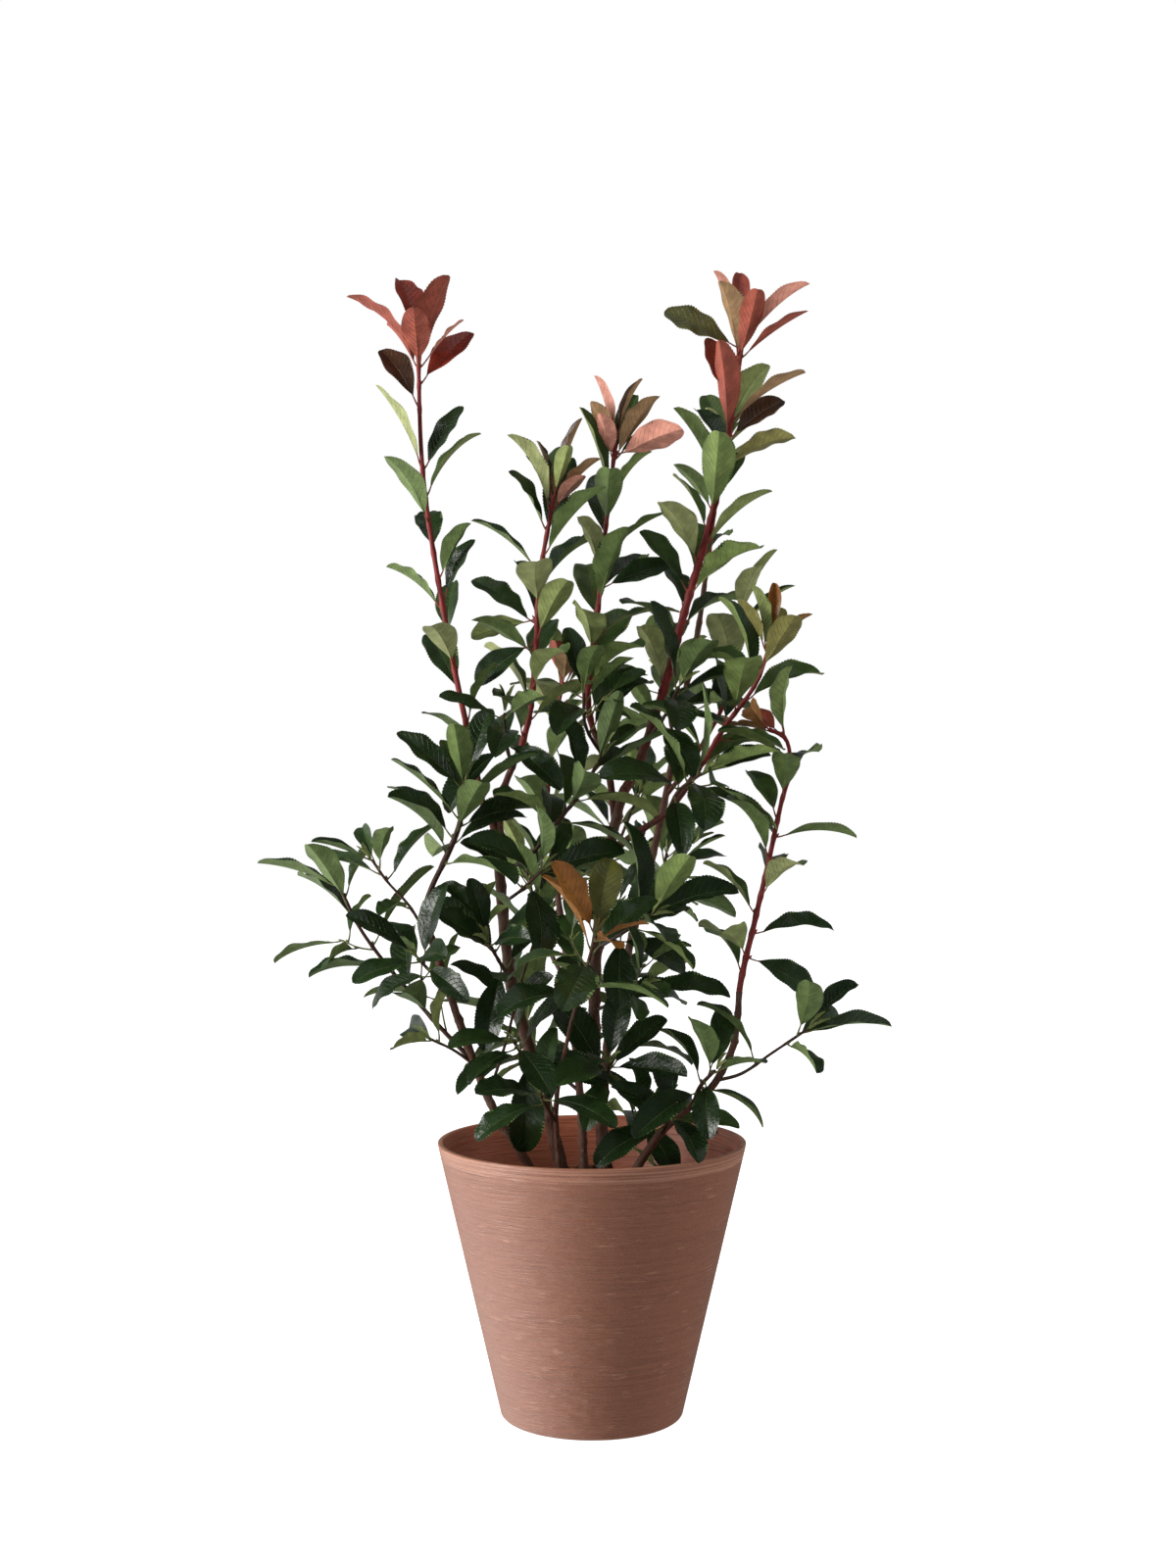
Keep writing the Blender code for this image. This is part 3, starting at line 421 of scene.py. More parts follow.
# Single leaves of some masses: height above the floor, turn, spread and roll in degrees, size, tint.
# A turn of 180 points to the left, 0 to the right and 270 to the front. Where its place has no room
# a leaf tries others, which stray up to the sway in height, turn and spread.
SINGLE_HALF_WIDTH = 0.27
SINGLE_TRIES = 36
SINGLE_SWAY = (0.014, 26, 12)
SINGLE_FULL_SWAY = 6
Single = namedtuple("Single", "height turn spread roll size tint")
SINGLE_LEAVES = {
    "tall_second": (
        Single(0.752, 185, 125, -55, 0.80, "dark"), Single(0.765, 195, 94, 40, 0.72, "fresh"),
        Single(0.770, 175, 52, -25, 0.90, "green"), Single(0.866, 180, 27, -40, 0.78, "dark"),
    ),
    "tall_third": (
        Single(0.805, 0, 62, 50, 0.85, "dark"), Single(0.944, 0, 56, -45, 0.90, "salmon"),
    ),
    "tall_right": (
        Single(0.800, 185, 48, -40, 0.85, "green"), Single(0.965, 15, 42, 45, 0.80, "bronze"),
        Single(0.983, 170, 24, -45, 0.80, "red"), Single(1.040, 185, 68, -50, 0.90, "olive"),
    ),
    "tall_left": (
        Single(0.790, 0, 32, 40, 0.85, "dark"), Single(0.912, 0, 30, 40, 0.95, "dark"),
        Single(0.986, 165, 22, -50, 0.90, "bronze"), Single(0.998, 25, 42, 40, 1.00, "red"),
    ),
    "front": (Single(0.474, 160, 30, -45, 0.90, "orange"),),
    "right_arch": (Single(0.440, 0, 108, 50, 0.90, "dark"),),
    "left_up": (
        Single(0.596, 180, 76, -50, 0.95, "dark"), Single(0.606, 180, 52, -40, 0.95, "dark"),
    ),
    "middle_left": (Single(0.456, 185, 28, -40, 0.85, "dark"),),
    "pot_low": (
        Single(0.272, 330, 95, 45, 0.95, "deep"), Single(0.276, 215, 90, -40, 0.80, "deep"),
    ),
}

# Bark: the relief is a part of the radius
BARK_STEP = 0.003
BARK_SIDES = 18
BARK_WAVE = 0.16
BARK_WAVE_RATE = 90
BARK_RIDGE = 0.09
BARK_RIDGE_RATES = (900, 900, 160)
BARK_MOST_RADIUS = 0.006
FIRST_SCAR = (0.3, 1.0)
SCAR_STEP = 0.026
SCAR_SWAY = (0.8, 1.25)
SCAR_TURN = 1000
SCAR_HEIGHT = 0.0022
SCAR_REACH = 4
SCAR_RING = 0.09
SCAR_KNOB = 0.30
SCAR_KNOB_FOCUS = 2.5

# Pot and soil
FINE_POT_SEGMENTS = 180
POT_WALL_RINGS = 16
POT_LEAN = 13
POT_FOOT_STEPS = 6
POT_LIP_STEPS = 4
SOIL_SEGMENTS = 96
SOIL_RINGS = 36
SOIL_WAVE = 0.007
SOIL_WAVE_RATE = 55
SOIL_WAVE_PLACE = 0.3
SOIL_WAVE_SINK = 0.4
SOIL_BARE_EDGE = 0.004
SOIL_SEED = 11
SOIL_BITS = (
    ("soil", 700, (0.003, 0.009)),
    ("bark_chip", 160, (0.005, 0.013)),
    ("grain", 60, (0.002, 0.004)),
)
CRUMB_EDGE = 2.01
CRUMB_WIDTH = 1.9
CRUMB_SIZES = (0.55, 1.2)
CRUMB_SWELLS = (0.8, 1.15)
CRUMB_FLATNESS = 0.7
CRUMB_RISE = 0.15

# Places shared by like faces
UNIT_MAP = "square"
TILE_MAP = "OFBake"
TILE_COLUMNS = 5
TILE_ROWS = 4
TILE_MARGIN = 0.04
MIDDLE = (0.5, 0.5)

# Colours of blades, above and below
TINTS = {
    "deep": ((0.012, 0.030, 0.008), (0.125, 0.185, 0.060)),
    "dark": ((0.017, 0.041, 0.010), (0.160, 0.230, 0.070)),
    "green": ((0.028, 0.064, 0.013), (0.220, 0.300, 0.088)),
    "fresh": ((0.052, 0.100, 0.019), (0.290, 0.345, 0.115)),
    "pale": ((0.070, 0.115, 0.026), (0.390, 0.420, 0.175)),
    "olive": ((0.085, 0.088, 0.015), (0.250, 0.230, 0.070)),
    "orange": ((0.311, 0.115, 0.019), (0.340, 0.150, 0.045)),
    "bronze": ((0.062, 0.027, 0.013), (0.390, 0.235, 0.115)),
    "red": ((0.270, 0.032, 0.016), (0.370, 0.085, 0.052)),
    "salmon": ((0.340, 0.065, 0.042), (0.780, 0.340, 0.250)),
}
YOUNG_TINTS = ("orange", "bronze", "red", "salmon")
GLOSSY_TINTS = ("deep", "dark")
TALL_HABITS = ("shoot", "slim", "arch")
TALL_SHARES = {"dark": 4, "green": 3, "fresh": 2, "pale": 2}
LOW_SHARES = {"deep": 4, "dark": 4, "green": 1.6, "fresh": 0.4}
SPRIG_SHARES = {"dark": 4, "green": 2.5, "fresh": 0.8}

# How far below a mass's tip its leaves are young, and their tints from the tip down
TIP_TINTS = {
    "tall_left": (0.050, ("red", "red", "red")),
    "tall_second": (0.030, ("bronze", "fresh", "dark", "bronze")),
    "tall_third": (0.030, ("bronze", "salmon", "fresh", "bronze")),
    "tall_right": (
        0.140, ("salmon", "salmon", "salmon", "bronze", "red", "bronze", "red", "dark", "olive"),
    ),
    "tall_right_back": (0.040, ("fresh", "fresh")),
    "diagonal_right": (0.045, ("orange", "fresh", "green", "olive")),
    "right_arch": (0.035, ("orange", "bronze", "green")),
    "front": (0.020, ("olive", "orange", "orange")),
}

# A blade's faces. Ranges run from the rib, at 0, to the edge, at 1.
Skin = namedtuple("Skin", "roughness specular vein_share vein_height pore_height")
GLOSSY = Skin(0.25, 0.45, 0.22, -0.8, 0.7)
SATIN = Skin(0.33, 0.45, 0.22, -0.8, 0.3)
UNDERSIDE = Skin(0.58, 0.35, 0.30, 0.9, 0.3)
LEAF_RIB = (0.16, 0.20, 0.075)
RIB_WIDTHS = (0.055, 0.020)
RIB_EDGE = (0.35, 1.0)
VEIN_COUNT = 11.0
VEIN_BOW = 2.4
VEIN_BOW_POWER = 1.3
VEIN_EDGE = (0.015, 0.085)
VEIN_END = (0.55, 0.95)
BLADE_RIM = (0.75, 1.0)
PORE_SCALE = (9.0, 22.0, 1.0)
BLOTCH_SCALE = (2.4, 5.0, 1.0)

# Twigs, leaf stalks and bark. Each kind of wood is the finish of a twig and that of its stalks.
TWIG_COLOURS = {
    "twig_brown": (0.062, 0.026, 0.016),
    "twig_red": (0.230, 0.027, 0.024),
    "stalk_green": (0.150, 0.160, 0.052),
    "stalk_red": (0.280, 0.070, 0.040),
}
TALL_WOOD = ("twig_red", "stalk_red")
LOW_WOOD = ("twig_brown", "stalk_green")
SPRIG_WOOD = ("stalk_green", "stalk_green")
CUT_WOOD = (0.23, 0.16, 0.10)
STREAK_SCALE = (7.0, 30.0, 1.0)
BARK_DARK = (0.062, 0.025, 0.015)
BARK_BROWN = (0.152, 0.060, 0.034)
BARK_GREY = (0.165, 0.105, 0.072)
YOUNG_BARK_DARK = (0.070, 0.016, 0.012)
YOUNG_BARK_BROWN = (0.185, 0.050, 0.032)
BARK_PATCH_SCALE = 60.0
BARK_STREAK_SCALE = (900.0, 900.0, 110.0)
BARK_DOT_SCALE = (420.0, 420.0, 231.0)

# The pot's colours and marks. Scales are waves per metre to the side, to the back and up.
POT_DARK = (0.232, 0.075, 0.035)
POT_MIDDLE = (0.308, 0.107, 0.051)
POT_LIGHT = (0.560, 0.270, 0.175)
POT_INSIDE = (0.520, 0.155, 0.085)
POT_BAND = 0.2525
POT_BAND_SWAY = 0.004
POT_BAND_EDGE = 0.001
POT_RING_SCALE = (0.0, 0.0, 240.0)
POT_DASH_SCALE = (5.0, 5.0, 560.0)
POT_SCRATCH_SCALE = (38.0, 38.0, 620.0)
POT_GRAIN_SCALE = (520.0, 520.0, 800.0)
POT_PATCH_SCALE = (26.0, 26.0, 70.0)
POT_CLOUD_SCALE = (10.0, 10.0, 26.0)
SOIL_COLOURS = {
    "soil": ((0.010, 0.007, 0.005), (0.034, 0.022, 0.014), 260.0),
    "bark_chip": ((0.045, 0.022, 0.012), (0.11, 0.055, 0.03), 300.0),
    "grain": ((0.45, 0.43, 0.38), (0.62, 0.60, 0.55), 500.0),
}


def blend(start, end, part):
    return start + (end - start) * part


def smooth_route(points, step, first_direction=None):
    """Stations about a step apart on the smooth curve through the points."""
    spans = [(b - a).length for a, b in zip(points, points[1:])]
    ways = [(b - a) / span for a, b, span in zip(points, points[1:], spans)]
    slopes = [first_direction or ways[0]]
    for i in range(1, len(ways)):
        mixed = ways[i - 1] * spans[i] + ways[i] * spans[i - 1]
        slopes.append(mixed / (spans[i - 1] + spans[i]))
    slopes.append(ways[-1])
    found = []
    for i, span in enumerate(spans):
        count = max(1, round(span / step))
        last = i == len(spans) - 1
        ends = (points[i], points[i + 1], slopes[i] * span, slopes[i + 1] * span)
        for k in range(count + last):
            found.append(curve_point(*ends, k / count))
    lengths = [0.0]
    for (a, _), (b, _) in zip(found, found[1:]):
        lengths.append(lengths[-1] + (b - a).length)
    return [
        Station(point, direction.normalized(), length / lengths[-1])
        for (point, direction), length in zip(found, lengths)
    ]


def curve_point(start, end, start_slope, end_slope, t):
    """A point of the cubic between two points and its direction there."""
    point = (
        start * (2 * t**3 - 3 * t**2 + 1)
        + start_slope * (t**3 - 2 * t**2 + t)
        + end * (3 * t**2 - 2 * t**3)
        + end_slope * (t**3 - t**2)
    )
    direction = (
        start * (6 * t**2 - 6 * t)
        + start_slope * (3 * t**2 - 4 * t + 1)
        + end * (6 * t - 6 * t**2)
        + end_slope * (3 * t**2 - 2 * t)
    )
    return point, direction


def route_length(stations):
    return sum((b.point - a.point).length for a, b in zip(stations, stations[1:]))


def station_at(stations, along):
    """The station at a fraction of the length, between the two nearest ones."""
    for low, high in zip(stations, stations[1:]):
        if along <= high.along:
            part = (along - low.along) / (high.along - low.along)
            direction = low.direction.lerp(high.direction, part).normalized()
            return Station(low.point.lerp(high.point, part), direction, along)
    return stations[-1]


def point_at_height(stations, height):
    for low, high in zip(stations, stations[1:]):
        if low.point.z <= height <= high.point.z:
            part = (height - low.point.z) / (high.point.z - low.point.z)
            return low.point.lerp(high.point, part)
    raise ValueError(f"no point of the limb is {height} m high")


def side_direction(direction):
    """A direction square to another, the same for like directions."""
    start = Vector((1.0, 0.0, 0.0)) if abs(direction.x) < 0.9 else Vector((0.0, 1.0, 0.0))
    return (start - direction * start.dot(direction)).normalized()


def tube_shape(stations, radii, sides):
    """Points and faces of a closed tube along the stations."""
    points = []
    across = side_direction(stations[0].direction)
    for station, radius in zip(stations, radii):
        across = (across - station.direction * across.dot(station.direction)).normalized()
        other = station.direction.cross(across)
        for i in range(sides):
            angle = 2 * math.pi * i / sides
            points.append(station.point + radius * (math.cos(angle) * across + math.sin(angle) * other))
    faces = [tuple(reversed(range(sides)))]
    for k in range(len(stations) - 1):
        low = k * sides
        high = low + sides
        for i in range(sides):
            j = (i + 1) % sides
            faces.append((low + i, low + j, high + j, high + i))
    faces.append(tuple(range(len(points) - sides, len(points))))
    return points, faces


def limb_radii(limb, stations):
    radii = []
    for station in stations:
        radius = blend(limb.radius, limb.tip_radius, station.along)
        if not limb.carrier:
            height = station.point.z - stations[0].point.z
            radius *= 1 + ROOT_FLARE * math.exp(-height / ROOT_FLARE_HEIGHT)
        radii.append(radius)
    return radii


def twig_shape(twig, swell=0.0):
    radii = [blend(twig.radius, twig.tip_radius, station.along) + swell for station in twig.stations]
    return tube_shape(twig.stations, radii, TWIG_SIDES)


def joined_route(carrier, joint_height, route, step):
    """Stations of a limb or twig that starts at its carrier's tip, or on the axis of its carrier."""
    points = [Vector(point) for point in route]
    if joint_height is None:
        tip = carrier[-1]
        points.insert(0, tip.point + tip.direction * GAP)
        return smooth_route(points, step, tip.direction)
    points.insert(0, point_at_height(carrier, joint_height))
    return smooth_route(points, step)


def plan_limbs():
    """The stations of every limb, by name."""
    routes = {}
    for name, limb in LIMBS.items():
        if limb.carrier:
            routes[name] = joined_route(routes[limb.carrier], limb.joint_height, limb.route, STEM_STEP)
        else:
            points = [Vector(point) for point in limb.route]
            points[0].z += GAP
            routes[name] = smooth_route(points, STEM_STEP, Vector((0.0, 0.0, 1.0)))
    return routes


def leaf_frame(leaf, t):
    """The midrib's point at a part of the blade, and the directions along it and out of its face."""
    start = leaf.root + leaf.axis * PETIOLE
    angle = leaf.droop * t
    reach = leaf.length / leaf.droop
    point = start + leaf.axis * (reach * math.sin(angle)) - leaf.face * (reach * (1 - math.cos(angle)))
    along = leaf.axis * math.cos(angle) - leaf.face * math.sin(angle)
    up = leaf.axis * math.sin(angle) + leaf.face * math.cos(angle)
    return point, along, up


def leaf_shape(leaf, swell=0.0, with_petiole=True):
    """Points and faces of a leaf with a four-sided section, folded up along its midrib."""
    across = leaf.axis.cross(leaf.face)
    rings = []
    stalk = PETIOLE_HALF_WIDTH + swell
    if with_petiole:
        rings.append((leaf.root, leaf.face, stalk, stalk, 0.0))
    start, _, up = leaf_frame(leaf, 0.0)
    rings.append((start, up, stalk, stalk, 0.0))
    for t, width in LEAF_STATIONS:
        point, _, up = leaf_frame(leaf, t)
        half_width = leaf.half_width * leaf.length * width + swell
        rings.append((point, up, half_width, LEAF_HALF_THICKNESS * leaf.length + swell, LEAF_FOLD))
    points = []
    for point, up, half_width, half_height, fold in rings:
        rise = up * (half_width * math.sin(fold))
        reach = across * (half_width * math.cos(fold))
        middle = up * half_height
        points += [point + reach + rise, point + middle, point - reach + rise, point - middle]
    tip, along, _ = leaf_frame(leaf, 1.0)
    points.append(tip + along * swell)
    faces = [(0, 1, 2), (0, 2, 3)]
    for k in range(len(rings) - 1):
        low = 4 * k
        for i in range(4):
            j = (i + 1) % 4
            faces += [(low + i, low + 4 + i, low + j), (low + j, low + 4 + i, low + 4 + j)]
    last = 4 * (len(rings) - 1)
    for i in range(4):
        faces.append((last + i, len(points) - 1, last + (i + 1) % 4))
    return points, faces


def tree_of(shape):
    points, faces = shape
    return BVHTree.FromPolygons(points, faces)


def blocked(shape, obstacles):
    tree = tree_of(shape)
    return any(tree.overlap(other) for other in obstacles)


def outward(direction, turn):
    """The direction square to another at a turn about it."""
    side = side_direction(direction)
    return side * math.cos(turn) + direction.cross(side) * math.sin(turn)


def leaf_on(twig, along, turn, spread, lift, roll, length, half_width, droop):
    """A leaf that leaves its twig at a turn about it and a spread from it, and faces the light."""
    station = station_at(twig.stations, along)
    up = Vector((0.0, 0.0, 1.0))
    away = outward(station.direction, turn) * math.sin(spread)
    axis = (station.direction * math.cos(spread) + away + up * lift).normalized()
    face = station.direction * LEAF_FACE_TO_TIP + up * LEAF_FACE_TO_SKY
    face = (face - axis * face.dot(axis)).normalized()
    face = face * math.cos(roll) + axis.cross(face) * math.sin(roll)
    return Leaf(station.point, axis, face, length, half_width, droop)


def leaf_places(habit, count):
    """How far along its twig each leaf grows, evenly below the crown and crowded in it."""
    crown = min(habit.crown, count)
    below = count - crown
    places = [blend(habit.bare, habit.below_to, k / max(1, below - 1)) for k in range(below)]
    return places + [blend(habit.crown_from, 1.0, k / max(1, crown - 1)) for k in range(crown)]


def grow_leaves(twig, mass, count, phase, chance, obstacles, own_twigs):
    """Leaves in a spiral up a twig. One that would touch something turns or is skipped."""
    habit = HABITS[mass.habit]
    leaves = []
    for i, along in enumerate(leaf_places(habit, count)):
        part = i / max(1, count - 1)
        turn = phase + i * GOLDEN_ANGLE + math.radians(chance.uniform(-TURN_SWAY, TURN_SWAY))
        spread = blend(*habit.spreads, part**SPREAD_BEND) + chance.uniform(-SPREAD_SWAY, SPREAD_SWAY)
        droop = blend(*habit.droops, part) + chance.uniform(-DROOP_SWAY, DROOP_SWAY)
        length = mass.leaf_length * blend(1.0, habit.tip_length, part**TIP_BEND)
        length *= chance.uniform(1 - LENGTH_SWAY, 1 + LENGTH_SWAY)
        half_width = LEAF_HALF_WIDTH * blend(1.0, habit.tip_width, part**TIP_BEND)
        roll = chance.uniform(-ROLL_SWAY, ROLL_SWAY)
        for shrink, extra in itertools.product(SHRINKS, TURNS):
            leaf = leaf_on(
                twig, along, turn + extra, math.radians(spread), habit.lift, math.radians(roll),
                length * shrink, half_width, math.radians(droop),
            )
            blade = leaf_shape(leaf, LEAF_CLEARANCE, with_petiole=False)
            if not blocked(blade, own_twigs) and not blocked(leaf_shape(leaf, LEAF_CLEARANCE), obstacles):
                leaves.append(leaf)
                obstacles.append(tree_of(leaf_shape(leaf)))
                break
    return leaves


def side_twig(twig, along, turn, length):
    """A twig that leaves another and bends up as it grows."""
    station = station_at(twig.stations, along)
    away = outward(station.direction, turn) * math.sin(SIDE_TWIG_LEAN)
    way = (station.direction * math.cos(SIDE_TWIG_LEAN) + away).normalized()
    end_way = (way + Vector((0.0, 0.0, SIDE_TWIG_RISE))).normalized()
    middle = station.point + way * (length / 2)
    stations = smooth_route([station.point, middle, middle + end_way * (length / 2)], TWIG_STEP)
    return Twig(stations, SIDE_TWIG_RADIUS, SIDE_TWIG_RADIUS * TWIG_TAPER)


def side_twigs(main, mass, chance, obstacles):
    """The side twigs of a mass, up its main twig by turns to each side."""
    found = []
    for k in range(mass.side_twigs):
        along = blend(HABITS[mass.habit].bare, SIDE_TWIGS_UP_TO, (k + 0.5) / mass.side_twigs)
        length = route_length(main.stations) * chance.uniform(*SIDE_TWIG_PARTS)
        turn = math.radians(mass.phase) + SIDE_TWIG_TURN + math.pi * k
        twig = side_twig(main, along, turn, length)
        if not blocked(twig_shape(twig, LEAF_CLEARANCE), obstacles):
            found.append(twig)
    return found


def plan_masses(limb_routes, obstacles):
    """The twigs and leaves of every mass, by name. All main twigs are placed before the first leaf."""
    mains = {}
    for name, mass in MASSES.items():
        route = joined_route(limb_routes[mass.carrier], mass.joint_height, mass.route, TWIG_STEP)
        mains[name] = Twig(route, mass.radius, mass.radius * TWIG_TAPER)
    main_trees = {name: tree_of(twig_shape(main)) for name, main in mains.items()}
    twigs = {}
    leaves = {}
    bodies = {}
    for name, mass in MASSES.items():
        chance = random.Random(mass.seed)
        others = obstacles + [tree for other, tree in main_trees.items() if other != name]
        own = [mains[name], *side_twigs(mains[name], mass, chance, others)]
        own_trees = [tree_of(twig_shape(twig)) for twig in own]
        grown = []
        for k, twig in enumerate(own):
            count = SIDE_TWIG_LEAVES if k else mass.leaves - SIDE_TWIG_LEAVES * (len(own) - 1)
            phase = math.radians(mass.phase) + k
            grown.append(grow_leaves(twig, mass, count, phase, chance, others, own_trees))
        twigs[name] = own
        leaves[name] = grown
        grown_trees = [tree_of(leaf_shape(leaf)) for some in grown for leaf in some]
        obstacles = obstacles + own_trees + grown_trees
        bodies[name] = own_trees, grown_trees
    return twigs, leaves, bodies


# Finer growth within each mass


def stem_of(name):
    """The stem that carries a mass."""
    carried = LIMBS | MASSES
    while carried[name].carrier:
        name = carried[name].carrier
    return name


def within(points, box):
    """Whether no point lies more than a little outside a box."""
    low, high = box
    return all(
        low[i] - REACH_SPARE <= point[i] <= high[i] + REACH_SPARE for point in points for i in range(3)
    )


def grow_sprigs(main, mass, box, obstacles, own_trees, chance):
    """Short twigs that stay in their mass's space: each twig, its small leaves and the trees of both."""
    found = []
    count = round(route_length(main.stations) * SPRIGS_PER_METRE) + SPRIGS_AT_LEAST
    for k in range(count):
        low = HABITS[mass.habit].bare * SPRIGS_FROM
        along = blend(low, SPRIGS_UP_TO, (k + chance.random()) / count)
        length = chance.uniform(*SPRIG_LENGTHS)
        turn = math.radians(mass.phase) + (k + 0.5) * GOLDEN_ANGLE * 2
        twig = side_twig(main, along, turn, length)
        twig = twig._replace(radius=SPRIG_RADIUS, tip_radius=SPRIG_TIP_RADIUS)
        shape = twig_shape(twig, SPRIG_CLEARANCE)
        if blocked(shape, obstacles) or not within(shape[0], box):
            continue
        leaf_length = mass.leaf_length * chance.uniform(*SPRIG_LEAVES)
        small = mass._replace(habit="sprig", leaf_length=leaf_length)
        tree = tree_of(twig_shape(twig))
        twig_trees = [*own_trees, tree]
        leaves = grow_leaves(twig, small, SPRIG_LEAF_COUNT, turn, chance, list(obstacles), twig_trees)
        leaves = [leaf for leaf in leaves if within(leaf_shape(leaf)[0], box)]
        if len(leaves) >= SPRIG_LEAST_LEAVES:
            trees = [tree] + [tree_of(leaf_shape(leaf)) for leaf in leaves]
            obstacles += trees
            found.append((twig, leaves, trees))
    return found


def takes_room(leaf, box, trees):
    """Whether a leaf has room in its mass's space. It then counts among what later leaves avoid."""
    shape = leaf_shape(leaf, CROWN_CLEARANCE, with_petiole=False)
    if blocked(shape, trees) or not within(shape[0], box):
        return False
    trees.append(tree_of(leaf_shape(leaf, with_petiole=False)))
    return True


def crown_growth(main, mass, crown, box, trees, chance):
    """Young leaves with their tints, in the room that is left at the tip of a shoot."""
    found = []
    for k in range(crown.leaves):
        for attempt in range(CROWN_TRIES):
            turn = math.radians(crown.first) + (k + attempt) * GOLDEN_ANGLE
            spread = math.radians(chance.uniform(*crown.spreads))
            roll = math.radians(chance.uniform(-ROLL_SWAY, ROLL_SWAY))
            length = mass.leaf_length * crown.size * chance.uniform(*CROWN_SIZE_SWAY)
            along = blend(*CROWN_PLACES, chance.random())
            leaf = leaf_on(
                main, along, turn, spread, CROWN_LIFT, roll, length, CROWN_HALF_WIDTH, CROWN_DROOP
            )
            if takes_room(leaf, box, trees):
                found.append((leaf, crown.tints[len(found)]))
                break
    return found


def along_at(twig, height):
    """How far along a rising twig a height is, or its tip's place where the height is above it."""
    for low, high in zip(twig.stations, twig.stations[1:]):
        if height <= high.point.z:
            part = (height - low.point.z) / (high.point.z - low.point.z)
            return blend(low.along, high.along, max(0.0, part))
    return 1.0


def single_growth(main, mass, spots, box, trees, chance):
    """Single leaves with their tints, close to their places where they have room."""
    found = []
    for spot in spots:
        for attempt in range(SINGLE_TRIES):
            share = min(1.0, attempt / SINGLE_FULL_SWAY)
            rise, turn, spread = (chance.uniform(-most, most) * share for most in SINGLE_SWAY)
            leaf = leaf_on(
                main, along_at(main, spot.height + rise), math.radians(spot.turn + turn),
                math.radians(spot.spread + spread), 0.0, math.radians(spot.roll),
                mass.leaf_length * spot.size, SINGLE_HALF_WIDTH, CROWN_DROOP,
            )
            if takes_room(leaf, box, trees):
                found.append((leaf, spot.tint))
                break
    return found


def tip_growth(main, mass, chance):
    """The folded youngest leaves at the tip of a shoot."""
    leaves = []
    for k in range(TIP_LEAVES):
        turn = math.radians(mass.phase) + (k + TIP_LEAF_START) * GOLDEN_ANGLE
        length = mass.leaf_length * TIP_LEAF_SIZE * chance.uniform(*TIP_SIZE_SWAY)
        spread = math.radians(chance.uniform(*TIP_LEAF_SPREADS))
        leaf = leaf_on(main, 1.0, turn, spread, CROWN_LIFT, 0.0, length, YOUNG_HALF_WIDTH, TIP_LEAF_DROOP)
        leaves.append(leaf._replace(root=leaf.root - leaf.axis * PETIOLE * TIP_LEAF_SINK))
    return leaves


# Meshes and pieces


def mesh_of(name, points, faces, finishes):
    mesh = bpy.data.meshes.new(name)
    mesh.from_pydata(points, [], faces)
    for finish in finishes:
        mesh.materials.append(MATERIALS[finish])
    return mesh


def linked(name, data):
    made = bpy.data.objects.new(name, data)
    bpy.context.scene.collection.objects.link(made)
    return made


def make_piece(mesh, sharp_degrees, slot, *nodes):
    """Makes a mesh a smooth piece on the root body, and hides the CAD nodes whose place it takes."""
    mesh.shade_smooth()
    mesh.set_sharp_from_angle(angle=math.radians(sharp_degrees))
    piece = linked(mesh.name, mesh)
    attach(piece, "root")
    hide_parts(*nodes)


class Gathered:
    """Points and faces of one mesh to be, with a finish for each face and its place on the unit square.

    A mesh whose faces have no such places gets no map."""

    def __init__(self):
        self.points = []
        self.faces = []
        self.finishes = []
        self.squares = []

    def add(self, points, faces, finishes, squares):
        start = len(self.points)
        self.points += [tuple(point) for point in points]
        self.faces += [tuple(start + i for i in face) for face in faces]
        self.finishes += finishes
        self.squares += squares

    def add_plain(self, points, faces, finish):
        """Faces of one finish that all lie in the middle of the square."""
        self.add(points, faces, [finish] * len(faces), [[MIDDLE] * len(face) for face in faces])

    def tube(self, stations, radii, sides, finish):
        """A closed tube whose square runs round it and along it."""
        points, faces = tube_shape(stations, radii, sides)
        rings = len(stations) - 1
        end = [MIDDLE] * sides
        squares = [end]
        for k in range(rings):
            for i in range(sides):
                low, high = k / rings, (k + 1) / rings
                left, right = i / sides, (i + 1) / sides
                squares.append([(left, low), (right, low), (right, high), (left, high)])
        squares.append(end)
        self.add(points, faces, [finish] * len(faces), squares)

    def finished(self, name, finishes, sharp_degrees, slot, *nodes):
        """Makes the mesh a piece, and hides the CAD nodes whose place it takes."""
        mesh = mesh_of(name, self.points, self.faces, finishes)
        numbers = {finish: number for number, finish in enumerate(finishes)}
        mesh.polygons.foreach_set("material_index", [numbers[finish] for finish in self.finishes])
        if self.squares:
            self.map_faces(mesh, numbers)
        make_piece(mesh, sharp_degrees, slot, *nodes)

    def map_faces(self, mesh, numbers):
        """A map with every face on the same square, and one with a tile for each finish."""
        own = mesh.uv_layers.new(name=UNIT_MAP)
        shared = mesh.uv_layers.new(name=TILE_MAP)
        flat, tiled = [], []
        for finish, corners in zip(self.finishes, self.squares):
            row, column = divmod(numbers[finish], TILE_COLUMNS)
            for u, v in corners:
                flat += (u, v)
                tiled += (
                    (column + blend(TILE_MARGIN, 1 - TILE_MARGIN, u)) / TILE_COLUMNS,
                    (row + blend(TILE_MARGIN, 1 - TILE_MARGIN, v)) / TILE_ROWS,
                )
        own.data.foreach_set("uv", flat)
        shared.data.foreach_set("uv", tiled)


# Blades


def outline(t, bend):
    """A blade's half width at a part of its length, as a part of the widest."""
    t = np.clip(t, 0.0, 1.0)
    base, tip = BLADE_FULLNESS
    return np.sin(np.pi * t**bend).clip(0.0) ** (base + (tip - base) * t)


